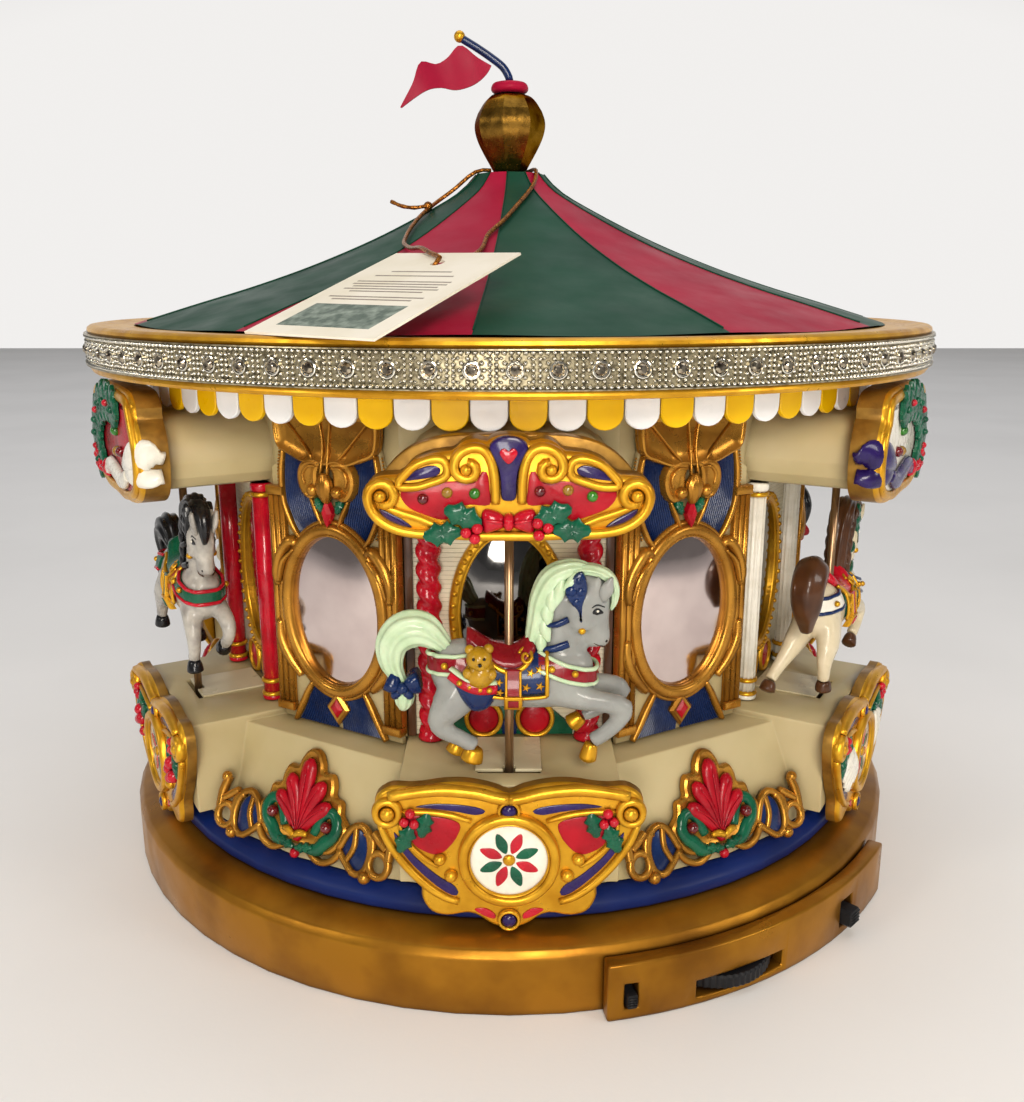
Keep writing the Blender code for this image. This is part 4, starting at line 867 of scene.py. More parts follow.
@dataclass
class HeaderPlate:
    """The scrolled casting on the end of a beam."""

    back: float = 126.9
    face: float = 135.6
    tall_face: float = 135.2

    def front_outline(self) -> Array:
        """The edge of the casting with scrolls."""
        half = [(0, 155.4), (-3.4, 154.9), (-5.2, 153.9), (-7.6, 154.5), (-10.6, 153.8), (-13, 151.8),
            (-15.4, 151.5), (-19, 150.8), (-22.6, 149.2), (-25.6, 146.2), (-28.6, 145.9), (-31.8, 145.2),
            (-34, 142.6), (-34, 138.8), (-31.6, 134.6), (-27, 131.8), (-22.6, 130.5), (-17, 130.2),
            (-10.8, 130.6), (-5, 130.2)]
        return outlined(half, 130.2, 120)

    def tall_outline(self) -> Array:
        """The edge of the higher casting, with a step in each shoulder."""
        half = [(0, 161.3), (-18, 160.9), (-25, 159.9), (-28.6, 157), (-28.4, 153.8), (-31.2, 150.6),
            (-33.2, 146), (-33.6, 139.5), (-31.6, 134.2), (-27, 130.8), (-20, 128.8), (-12, 127.8)]
        return outlined(half, 128, 110)

    def piece(self, side: Side) -> Piece:
        """One casting in the arm's plane."""
        gold = Piece("header")
        if side is Side.FRONT:
            self.scrolled(gold)
        else:
            self.draped(gold, side)
        return gold

    def scrolled(self, gold: Piece) -> None:
        """Crimson fields between scrolls, a purple shaft with a heart, cut stones and a bow with leaves."""
        f = self.face
        body, edges = body_of(self.front_outline(), self.back, f, 1.6)
        # The sides take the darker gold: painted shade.
        gold.split(body, edges, GOLD, SHADED_GOLD)
        # A back plate behind the top of the casting, in the darker gold: painted shade behind the scrolls.
        collar = mirrored([(-4, 154.6), (-16, 153.9), (-24.4, 151), (-30.6, 144.6), (-31, 137)])
        gold.add(SHADED_GOLD, moulding(curve(collar, 60), 122.6, 127.4, 0.6))
        ground = [(-25.4, 141.2), (-24.4, 143), (-18.7, 144.1), (-12.6, 144.7), (-8, 144.4), (-6.2, 147),
            (-4.9, 146.4), (-4.4, 142.4), (-4.5, 139), (-9.8, 139), (-12.6, 137.2), (-14.8, 135.4),
            (-18, 136), (-23.3, 138.2)]
        pocket = [(-24.9, 144.8), (-22.8, 146.6), (-19.9, 148), (-17.4, 148.4), (-15.9, 147.5), (-16.7, 146),
            (-20.2, 145.2)]
        crescent = [(-30.4, 138.2), (-29.2, 136), (-26.4, 134.4), (-22.8, 133.5), (-24.8, 135.4),
            (-27.6, 136.9)]
        for shape, finish, rise in ((ground, CRIMSON, 0.25), (pocket, PURPLE, 0.4), (crescent, PURPLE, 0.4)):
            gold.pair(finish, moulding(curve(shape, 48, True), f - 1, f + rise, 0.3))
        inner_scroll = [(-3.1, 139.4), (-3.2, 144.6), (-3.9, 149), (-5.5, 151.8), (-7.9, 152.6),
            (-10.6, 151.8), (-12.4, 149.8), (-12.6, 147.3), (-11.2, 145.6), (-9.2, 145.3), (-7.7, 146.6),
            (-8, 148.7), (-9.6, 149.1)]
        end_scroll = [(-14, 132), (-22.8, 132.4), (-28, 133.9), (-31.6, 136.8), (-33, 140.6), (-32.1, 143.2),
            (-29.9, 144.3), (-27.5, 143.3), (-26.8, 141), (-28.2, 139.1), (-30.2, 139.3)]
        loop = [(-25.9, 143.6), (-24, 146.4), (-21.4, 148.7), (-17.8, 149.9), (-15.2, 149.6), (-14.2, 147.7),
            (-15, 145.6), (-18.5, 144.2), (-21.9, 143.3)]
        lower_bar = [(-29, 138.6), (-25.3, 137.2), (-21, 135.8), (-17.2, 134.2), (-13, 133)]
        gold.pair(GOLD, ribbon(inner_scroll, f, 2.6, 2, 46, 12, 0.85),
            ribbon(end_scroll, f, 2.8, 2, 46, 12, 0.85), ribbon(loop, f, 2.2, 1.5, 44, 12, loop=True),
            ribbon(lower_bar, f, 2, 1.4, 26, 12, 0.8), ball(-9.9, 147.4, 1.45, f + 0.7),
            ball(-30.1, 141.2, 1.6, f + 0.7))
        sill = [(-15, 131.9), (-7, 131.6), (0, 131.6), (7, 131.6), (15, 131.9)]
        gold.add(GOLD, ribbon(sill, f, 2.6, 1.6, 26, 12, 0.9))
        shaft = [(0, 155.3), (-2.6, 154.8), (-4.4, 153.2), (-4.1, 150.6), (-2.6, 148), (-2, 145.1),
            (-1.7, 140.8), (0, 140)]
        gold.add(PURPLE, moulding(curve(mirrored(shaft), 60, True), f - 1, f + 1.2, 0.8))
        heart = [(0, 151.9), (-0.9, 152.6), (-1.9, 152.1), (-1.9, 150.9), (0, 148.9)]
        gold.add(BRIGHT_RED, moulding(curve(mirrored(heart), 30, True), f + 0.8, f + 1.7, 0.3))
        for x, y, finish in ((-20.1, 140.5, RUBY), (-14.4, 142, AMBER), (-8, 141.8, EMERALD),
                (7.3, 142.3, RUBY), (13.9, 142.6, AMBER), (19.6, 141.1, EMERALD)):
            gold.add(finish, ball(x, y, 1.35, f + 0.4, 0.7))
        self.bow(gold, 0, 135, f + 0.4, BRIGHT_RED)
        for x, y, long, wide, angle in ((-10.7, 136.6, 9.6, 6.8, -24), (-15.6, 132.4, 9.2, 6.6, 8),
                (10.3, 136.9, 9.6, 6.8, 22), (14.8, 133.3, 9.2, 6.6, -2)):
            gold.add(GREEN, leaf(x, y, long, wide, angle, f + 1.5))
        for x, y in ((-10, 132.7), (-7.4, 133.7), (-8, 131.3), (6.8, 135), (9.2, 133.9), (7.1, 132.1)):
            gold.add(BRIGHT_RED, ball(x, y, 1.4, f + 1.8))

    def bow(self, gold: Piece, x: float, y: float, out: float, finish: Finish) -> None:
        """A bow of two wings with a fold in each, and its knot."""
        wing = np.array([(-0.8, 1), (-2.8, 2.6), (-5.8, 3), (-6.5, 0.4),
            (-5.8, -2.6), (-3.2, -2.2), (-0.8, -1)])
        fold = [(-1.4, 0.2), (-3.4, 0.5), (-5.4, 0.8)]
        for sign in (-1.0, 1.0):
            gold.add(finish, dome(curve(wing * (sign, 1) + (x, y), 28, True), out, 1.9))
            gold.add(finish, ribbon(np.array(fold) * (sign, 1) + (x, y), out + 1.6, 1, 0.9, 10, 8, 0.5))
        gold.add(finish, dome(oval(x, y, 1.5, 2.2, 20), out, 2.6))

    def draped(self, gold: Piece, side: Side) -> None:
        """A painted field in a broad rim, a garland with a bow, and a ribbon over the lower corner."""
        f = self.tall_face
        sign = 1.0 if side is Side.RIGHT else -1.0
        edge = self.tall_outline()
        body, edges = body_of(edge, self.back, f, 1.4)
        # The sides take the darker gold: painted shade.
        gold.split(body, edges, GOLD, SHADED_GOLD)
        gold.add(WHITE if sign > 0 else CRIMSON, moulding(inset(edge, 3.6), f - 1, f + 0.2, 0.3))
        gold.add(GOLD, ribbon(inset(edge, 2.4)[::3], f - 0.1, 3, 1.4, 110, 12, loop=True))
        angle = np.radians(np.linspace(118.0, -32.0, 9))
        spray = np.column_stack([sign * (2.0 + 23.0 * np.cos(angle)), 143.0 + 13.0 * np.sin(angle)])
        for k, (x, y) in enumerate(spray):
            lean = math.degrees(angle[k]) - 90.0
            for offset, turn in ((2.8, 34), (-2.4, -38)):
                push = offset * np.array([sign * np.cos(angle[k]), np.sin(angle[k])])
                gold.add(GREEN, leaf(x + push[0], y + push[1], 10.4, 7, sign * (lean + turn), f + 1.2, 3))
            gold.add(BRIGHT_RED if k % 3 == 1 else GREEN, ball(x, y, 1.1, f + 2.2))
        for x, y, finish in ((-5, 148, EMERALD), (-10.5, 142.5, RUBY), (-5, 142, AMBER)):
            gold.add(finish, ball(sign * x, y, 1.6, f + 0.5))
        self.bow(gold, sign * 17, 134.6, f + 0.9, BRIGHT_RED)
        for x, y in ((24.4, 134.4), (26.6, 137), (23.2, 138.4)):
            gold.add(BRIGHT_RED, ball(sign * x, y, 1.5, f + 1.4))
        band = PURPLE if sign > 0 else WHITE
        tail = [(14, 133.6), (6, 136.6), (-4, 135.6), (-13, 134.4), (-22, 137.6)]
        gold.add(band, ribbon(np.array(tail) * (sign, 1), f + 0.9, 5.4, 1.5, 30, 12, 0.7))
        for knots in ([(-20, 140.4, f + 0.6, 2.8, 1.6), (-27.6, 143.4, f + 0.4, 4.2, 1.8),
                (-33.6, 144, f - 2.6, 4.4, 2), (-34.4, 143.4, f - 6.4, 4, 1.7)],
                [(-21, 138.4, f + 0.4, 2.4, 1.5), (-28, 138, f + 0.2, 3.2, 1.6),
                (-33, 138.2, f - 2.2, 3.2, 1.7), (-33.8, 138.6, f - 6.0, 2.8, 1.5)]):
            fold = tube(knots, 24, 20, up=(0, 0, 1), ridges=3, depth=0.05, twist=1.0)
            gold.add(band, fold.moved(lambda p: p * (sign, 1.0, 1.0)))


@dataclass
class LowerPlate:
    """The casting with a round medallion on the end of a deck."""

    back: float = 126.4
    face: float = 130.6
    disc: tuple[float, float] = (0.0, 43.3)

    def outline(self) -> Array:
        """The casting's edge."""
        half = [(0, 61.4), (-3.4, 62.8), (-7.4, 63.9), (-12, 64.6), (-17, 64.5), (-22, 63.7), (-26, 63.4),
            (-30.6, 63.5), (-34.2, 61.2), (-35, 58.2), (-34.6, 54.6), (-32.5, 49.4), (-28.6, 42.4),
            (-23.6, 35.6), (-23.2, 31.2), (-20.9, 27.2), (-16.5, 25.8), (-11.1, 26.6), (-8.2, 25.7),
            (-4.6, 23.2)]
        return outlined(half, 21.9, 130)

    def piece(self, side: Side) -> Piece:
        """One casting in the arm's plane."""
        gold = Piece("lower")
        f = self.face
        body, edges = body_of(self.outline(), self.back, f, 1.3)
        # The sides take the darker gold: painted shade.
        gold.split(body, edges, GOLD, SHADED_GOLD)
        ground = [(-27, 55.4), (-21.9, 55.7), (-16.2, 55), (-12.8, 53.2), (-13.6, 49.6), (-15.8, 46.5),
            (-17.6, 45), (-20.2, 44.6), (-24.3, 46.8), (-26.4, 50.2), (-27.6, 52.8)]
        band = [(-30, 51), (-28.8, 49.6), (-24.6, 43.8), (-18.9, 38.4), (-14.6, 35.4), (-13.4, 32.8),
            (-15.4, 32.6), (-19.8, 35.8), (-25.4, 41.6), (-29.2, 47.4)]
        pocket = [(-24.2, 58.2), (-19.5, 59.1), (-12.4, 58.8), (-7.4, 57.8), (-6.2, 56.6), (-8.9, 55.9),
            (-13.6, 56.8), (-19.5, 57.6)]
        sliver = [(-9.2, 28.2), (-6.6, 26.2), (-3.8, 25.4), (-3.9, 27), (-6.4, 28.6)]
        for shape, finish in ((ground, CRIMSON if side is Side.FRONT else GREEN), (band, PURPLE),
                (pocket, PURPLE), (sliver, BRIGHT_RED)):
            gold.pair(finish, moulding(curve(shape, 48, True), f - 1, f + 0.3, 0.3))
        brow = [(-31, 61), (-27.6, 61.9), (-18.2, 63), (-9, 62.2), (-3.6, 60.8), (0, 60.2)]
        ridge = [(-27.8, 57), (-20.6, 56.8), (-14.6, 55.8), (-9.8, 54.2)]
        cheek = [(-33.6, 53.4), (-31.6, 48.2), (-27.4, 41.6), (-22.2, 35.8), (-17.4, 32.2), (-13.4, 30.6)]
        inner = [(-28.4, 53.6), (-27.2, 49), (-23.2, 44.2), (-18.6, 41)]
        gold.pair(GOLD, ribbon(brow, f, 3.2, 1.8, 36, 12, 0.9), ribbon(ridge, f, 1.7, 1.2, 24, 10, 0.7),
            ribbon(cheek, f, 2.2, 1.3, 36, 12, 0.8), ribbon(inner, f, 1.5, 1, 26, 10, 0.7),
            ribbon(oval(-31.6, 56.8, 3, 3.2, 18), f + 0.2, 2.2, 1.7, 40, 12, loop=True),
            ball(-31.5, 56.6, 2.1, f + 0.6, 0.95), ball(-15.3, 38.4, 1.8, f + 0.3),
            ball(-18.2, 43.2, 1.7, f + 0.3))
        self.medallion(gold)
        for x, y in ((0, 57.2), (0, 25.4)):
            gold.add(GOLD, ribbon(oval(x, y, 2.6, 2.6, 16), f + 0.4, 1, 1.1, 36, 8, loop=True))
            gold.add(PURPLE, ball(x, y, 2.1, f + 0.4, 0.7))
        self.posy(gold, side)
        return gold

    def posy(self, gold: Piece, side: Side) -> None:
        """Leaves and berries in front, berries or a wing of feathers on the castings beside it."""
        f = self.face
        leaves = [(-22, 53.4, 7.6, 5, 76), (-27, 49.4, 8.6, 5.4, 66)]
        if side is not Side.FRONT:
            leaves.append((-19.4, 49.6, 8.0, 5.0, 50.0))
        for x, y, long, wide, angle in leaves:
            gold.pair(GREEN, leaf(x, y, long, wide, angle, f + 0.6))
        berries = [(-25.6, 56.8, 1.35), (-27.2, 54.4, 1.35), (-24.6, 53.8, 1.35)]
        if side is Side.LEFT:
            berries += [(-21.6, 46.6, 2.3), (-25, 45.2, 2.1), (-23.6, 49.2, 2.2), (-20, 42.6, 1.8)]
        for x, y, size in berries:
            gold.pair(BRIGHT_RED, ball(x, y, size, f + 1.1))
        if side is Side.RIGHT:
            for k in range(6):
                a = math.radians(208.0 + 15.0 * k)
                root, reach = np.array((-17.0, 51.0)), 10.6 + 0.9 * k
                tip = root + reach * np.array((math.cos(a), math.sin(a)))
                middle = (root + tip) / 2 + (0.7, 0.5)
                feather = [(*root, f + 1.0, 0.9, 0.8), (*middle, f + 1.3 + 0.12 * k, 1.9, 1.1),
                    (*tip, f + 0.8, 0.9, 0.6)]
                gold.pair(WHITE, tube(feather, 16, 12))

    def medallion(self, gold: Piece) -> None:
        """A broad gold ring round a white disc with a plain eight-leaved rosette."""
        x, y = self.disc
        f = self.face
        gold.add(GOLD, ribbon(oval(x, y, 12, 12, 40), f + 0.3, 2.9, 2.2, 96, 14, loop=True, power=0.7),
            ribbon(oval(x, y, 10.5, 10.5, 40), f + 0.4, 0.8, 1.6, 90, 10, loop=True))
        gold.add(WHITE, moulding(oval(x, y, 10.4, 10.4, 64), f - 0.8, f + 0.9, 0.3))
        for k in range(8):
            a = math.radians(k * 45.0 + 22.5)
            petal = [(0, 1.9), (-1.5, 4.6), (-0.9, 7.2), (0, 8.3)]
            flat = curve(mirrored(petal), 22, True) @ np.array([[math.cos(a), math.sin(a)],
                [-math.sin(a), math.cos(a)]])
            gold.add(BRIGHT_RED if k % 2 else GREEN, moulding(flat + (x, y), f + 0.7, f + 1.1, 0.25))
        gold.add(GOLD, ball(x, y, 1.7, f + 0.9, 0.5))


@dataclass
class Crest:
    """The pierced ornament with a crimson plume, leaning on the skirt between two decks."""

    foot_radius: float = 122.5
    foot_height: float = 28.2
    lean: float = 21.3
    thick: float = 2.4

    def place(self, azimuth: float) -> Place:
        """A function from the ornament's own (along, up, out), seen square on, to the carousel's frame."""
        sin, cos = math.sin(math.radians(self.lean)), math.cos(math.radians(self.lean))
        tilt = np.array([[1.0, 0.0, 0.0], [0.0, cos, -sin], [0.0, sin, cos]])
        return lambda p: on_arm(azimuth)(p @ tilt + (0.0, self.foot_height, self.foot_radius))

    def piece(self) -> Piece:
        """The ornament in its own plane: open scrolls of gold strap round a plume of five lobes."""
        gold = Piece("crest")
        t = self.thick
        crown = [(0, 32.4), (-2.4, 31.4), (-4.2, 28.6), (-4.9, 26.4), (-8, 26.4), (-9.6, 23.4), (-10, 20.6),
            (-12.9, 19.6), (-13.8, 16), (-16.4, 13), (-15.4, 8.6), (-11.8, 4.6), (-6, 3.6)]
        steps = [(0, 0.2), (0, t - 1.2), (0.3, t - 0.5), (1, t - 0.1), (1.6, t - 0.4)]
        gold.add(FRAME_GOLD, relief(outlined(crown, 4.6, 100), steps))
        pads = [(-23.6, 3.4), (-20.4, 2.8), (-16.2, 5.6), (-14.8, 9.6), (-17.4, 13.6), (-21.4, 13.4),
            (-23.8, 9.6)]
        gold.pair(NAVY, moulding(curve(pads, 40, True), 0.4, 1.2, 0.3))
        big_loop = [(-14.6, 7), (-17.2, 12.8), (-20.4, 15.2), (-23.8, 13.4), (-25.4, 8.6), (-24.4, 3.6),
            (-21.2, 1.8), (-17.6, 4.2), (-14.6, 7)]
        low_loop = [(-15.4, 6.2), (-12.6, 3), (-8.6, 1.8), (-4.8, 3.6), (-2.6, 5.6)]
        end_ring = np.concatenate([[(-22.6, 13.6), (-25.2, 12.4), (-26, 8)],
            spiral(-28.6, 6.2, 3.3, 3.3, 20, -330, 10)])
        spire = [(-31.6, 8), (-31.4, 13), (-30.2, 17.2)]
        hook = [(-30.4, 10.8), (-27.6, 12.8), (-25.4, 14.4)]
        strut = [(-17.6, 4.2), (-19.6, 9), (-19.2, 14.4)]
        for knots, wide, rise in ((big_loop, 2, 1.1), (low_loop, 2, 1.1), (end_ring, 2.1, 1.1),
                (spire, 2.4, 1.3), (hook, 2.2, 1.3), (strut, 1.7, 0.9)):
            gold.pair(FRAME_GOLD, ribbon(knots, 1.3, wide, rise, 36, 12, 0.9, power=0.6))
        for x, y, size in ((-24.9, 1.9, 1.9), (-30.9, 17.2, 1.6)):
            gold.pair(FRAME_GOLD, ball(x, y, size, 1.6))
        gold.add(CRIMSON, ball(0, 2.2, 1.5, 2, 0.9))
        self.plume(gold)
        return gold

    def plume(self, gold: Piece) -> None:
        """Five crimson lobes grown from one stem, over two green volutes, each with a red bead in its eye."""
        t = self.thick
        for tip, bend, wide in (((0, 29.4), 0, 3), ((-6.2, 23.8), -2.2, 2.7), ((6.2, 23.8), 2.2, 2.7),
                ((-9.6, 18.2), -3.6, 2.5), ((9.6, 18.2), 3.6, 2.5)):
            x, y = tip
            rise = y - 6.0
            lobe = [(0, 6, t - 0.2, 0.9, 0.9), (x * 0.2, 6.0 + rise * 0.34, t, wide * 0.62, 1.2),
                (x * 0.52 + bend * 0.1, 6.0 + rise * 0.68, t + 0.1, wide * 0.86, 1.5),
                (x * 0.86, 6.0 + rise * 0.9, t + 0.2, wide * 0.84, 1.5), (x, y, t, wide * 0.3, 0.7)]
            gold.add(CRIMSON, tube(lobe, 24, 14))
            vein = [(0, 8, t + 0.9, 0.25, 0.3), (x * 0.4, 6.0 + rise * 0.6, t + 1.6, 0.35, 0.3),
                (x * 0.84, 6.0 + rise * 0.88, t + 1.7, 0.2, 0.2)]
            gold.add(CRIMSON, tube(vein, 12, 6))
        volute = [(-3, 4.2, t - 0.6, 1.2, 1), (-7.4, 5, t - 0.5, 2, 1.3), (-9.8, 7.6, t - 0.4, 2.1, 1.4),
            (-12.2, 9.8, t - 0.4, 1.9, 1.4), (-13, 13, t - 0.4, 1.8, 1.4), (-11.2, 15.8, t - 0.4, 1.7, 1.3),
            (-8.4, 15.4, t - 0.4, 1.7, 1.3), (-6.8, 12.6, t - 0.4, 1.6, 1.2), (-5.4, 9, t - 0.4, 1.4, 1.1)]
        gold.pair(GREEN, tube(volute, 44, 14))
        gold.pair(RUBY, ball(-10, 11.9, 1.8, t + 0.5))
        gold.pair(GREEN, leaf(-3.4, 4.6, 6.6, 3.2, -14, t + 0.4, 3))
        gold.pair(GOLD, tube([(-4.4, 8.6, t + 1.4, 0.7, 0.5), (-2, 8.6, t + 1.8, 1.1, 0.8),
            (0, 7.4, t + 1.8, 0.8, 0.6)], 12, 10))


# The centre
@dataclass
class CornerPanel:
    """Between two bays: an oval mirror in a bronze frame, a fan above it, navy pleats above and below."""

    back: float = 98.7
    face: float = 100.2
    mirror: tuple[float, float, float] = (97.3, 16.0, 22.3)

    def pleated(self, levels: Line, count: int) -> Shell:
        """A pleated sheet between two edges.

        Args:
            levels: (height, left edge, right edge) from bottom to top.
            count: how many pleats cross it. They stand out by 0.45 * |cos(pi * count * share)|.

        Returns:
            The closed sheet.
        """
        rows = curve(levels, 8)
        u = np.linspace(0.0, 1.0, count * 4 + 1)[None]
        along = rows[:, 1:2] + (rows[:, 2:3] - rows[:, 1:2]) * u
        up = np.broadcast_to(rows[:, :1], along.shape)
        out = np.broadcast_to(self.face + 0.15 + 0.45 * np.abs(np.cos(math.pi * count * u)), along.shape)
        front = np.stack([along, up, out], -1)
        back = np.stack([along, up, np.full_like(along, self.face - 0.6)], -1)
        return skin(np.concatenate([front, back[:, ::-1]], 1))

    def piece(self) -> Piece:
        """One panel in its own plane."""
        f = self.face
        z, wide, high = self.mirror
        made = Piece("corner")
        edge = mirrored([(0, 148.6), (-15, 148.6), (-17, 146), (-18.4, 140.6), (-22.3, 138), (-22.3, 60.5)])
        made.add(CREAM, moulding(edge, self.back, f, 0.5))
        made.add(MIRROR, moulding(oval(0, z, wide + 0.6, high + 0.6, 72), f - 0.6, f + 0.9, 0.2))
        made.add(FRAME_GOLD,
            ribbon(oval(0, z, wide + 1.7, high + 2.2, 40), f + 0.4, 3.9, 2.3, 96, 16, loop=True, power=0.75),
            ribbon(oval(0, z, wide + 0.5, high + 0.6, 40), f + 1, 0.8, 1.5, 96, 8, loop=True),
            ribbon(oval(0, z, wide + 3.3, high + 4.4, 40), f + 0.2, 1.7, 1.5, 96, 8, loop=True))
        below = [(60.8, -15.6, -1), (66, -12.6, -0.6), (72.6, -9.8, -0.4)]
        above = [(118.6, -11.6, -5.6), (124, -15.2, -4.4), (131, -16.6, -6.6), (138.6, -16.4, -8.4),
            (144, -15.6, -8)]
        made.pair(NAVY, self.pleated(below, 16), self.pleated(above, 14))
        borders = (([(-17, 60.6), (-14.6, 65), (-12, 70), (-9.6, 74)], 2.2, 1.6),
            ([(-16.4, 144), (-17.6, 136.4), (-17, 128), (-14, 121), (-11, 117.4)], 1.7, 1.6),
            ([(-20.3, 103), (-20.8, 107), (-19, 112.4), (-15.2, 117), (-12.8, 116)], 3.6, 3),
            ([(-20.6, 92), (-20.4, 86.4), (-17.6, 80.6), (-13.2, 75.6)], 3.4, 2.8),
            ([(-19.8, 104), (-17.4, 110.6), (-13.4, 114.6)], 1.8, 3.4),
            ([(-7.4, 118.6), (-3.8, 121.4), (0, 122.4)], 3, 2.2),
            ([(-16.6, 144.2), (-12, 142.6), (-7.6, 141)], 1.2, 1.6))
        for knots, width, rise in borders:
            made.pair(FRAME_GOLD, ribbon(knots, f + 0.5, width, rise, 30, 10, 0.7))
        row = curve([(-18.4, 143.6), (-19.4, 136), (-18.6, 128), (-15.6, 120.6)], 26)
        made.pair(FRAME_GOLD, copies(bead(0.42, 3, 6), *upright(np.column_stack([row,
            np.full(26, f + 0.4)]))))
        self.pilasters(made)
        self.fan(made)
        setting = [(0, f - 0.4), (0, f + 1.4), (0.7, f + 2.2), (1.4, f + 2)]
        made.add(FRAME_GOLD, relief(lozenge(67.6, 4.2, 5.4), setting))
        made.add(CRIMSON, relief(lozenge(67.6, 2.3, 3), [(0, f + 1.4), (0, f + 2.2), (0.9, f + 2.9)]))
        return made

    def pilasters(self, made: Piece) -> None:
        """Two flat pilasters of three reeds each, with a plain band at the foot and the head."""
        f = self.face
        slab = rect(16.9, 63.6, 22.9, 132.4)
        reeds = [tube([(x, y, f + 1.1, 1.05, 0.75) for y in (64.4, 98, 131.8)], 3, 14)
            for x in (17.9, 19.9, 21.9)]
        ends = [moulding(rect(16.7, y, 23.1, y + 2.6), f - 0.5, f + 2.5, 0.6) for y in (63.4, 130.2)]
        made.pair(FRAME_GOLD, moulding(slab, self.back, f + 0.9, 0.3), *reeds, *ends)

    def fan(self, made: Piece) -> None:
        """A wide hollow fan with thin ribs, two beaded shells, a ribbed heart, leaves and a red lozenge."""
        f = self.face
        rim = [(0, 156.6), (-9, 156.6), (-17, 156.2), (-18.4, 152.8), (-17.4, 145.2), (-12.6, 142.6),
            (-7.4, 140.8), (-4, 141.4)]
        steps = [(0, f - 0.4), (0, f + 2.8), (0.5, f + 3), (1.6, f + 2.2), (3.4, f + 1.5)]
        made.add(FRAME_GOLD, relief(outlined(rim, 140.6, 80), steps))
        outer = [(-4.4, 142, f + 2.3, 0.4, 0.7), (-9.4, 147.4, f + 1.7, 0.4, 0.7),
            (-15.4, 153.6, f + 1.7, 0.4, 0.7)]
        inner = [(-1.2, 138, f + 3, 0.4, 0.7), (-1, 146, f + 1.7, 0.4, 0.7), (-2.2, 155, f + 1.7, 0.4, 0.7)]
        end = [(-17, 145.4, f + 1.6, 0.8, 1.3), (-17.8, 149.8, f + 1.6, 0.9, 1.4),
            (-17.6, 155.6, f + 1.6, 0.9, 1.3)]
        shell_edge = [(-1.4, 141.4), (-5.6, 142.2), (-9, 140.6), (-10.4, 137), (-9.6, 133.2), (-7.2, 130.6),
            (-4.2, 130.8), (-2.8, 133.4), (-2.6, 138)]
        lip = [(-2.2, 139.8), (-5.6, 140), (-7.8, 137.6), (-7.2, 134.6)]
        steps = [(0, f), (0, f + 1.8), (0.4, f + 2.8), (1.2, f + 3.2), (2, f + 2.9)]
        made.pair(FRAME_GOLD, tube(outer, 14, 8), tube(inner, 14, 8), tube(end, 10, 12),
            relief(curve(shell_edge, 50, True), steps), ribbon(lip, f + 2.7, 1, 0.9, 24, 8, 0.5),
            ball(-4.4, 133.2, 1.9, f + 2.9))
        heart = [(0, 129.8, f + 2.2, 0.8, 1), (0, 132.4, f + 2.8, 2.4, 1.9), (0, 135.4, f + 3, 2.9, 2),
            (0, 138.4, f + 2.8, 1, 1.2)]
        made.add(FRAME_GOLD, tube(heart, 24, 40, ridges=12, depth=0.05))
        for sign in (-1.0, 1.0):
            strap = [(sign * 6.8, 130.6), (sign * 4.6, 126.4), (sign * 2.8, 122.8)]
            made.add(FRAME_GOLD, ribbon(strap, f + 0.8, 1.4, 1.6, 20, 10))
        made.pair(GREEN, leaf(-3.6, 128.8, 4.8, 3.4, 118, f + 1.4, 3))
        made.add(CRIMSON, relief(lozenge(126.9, 1.9, 4.1), [(0, f + 1), (0, f + 2.8), (1, f + 3.8)]))


class Column(Enum):
    """How a bay's two columns are turned."""

    TWISTED = 4
    PLAIN = 0
    FLUTED = 12


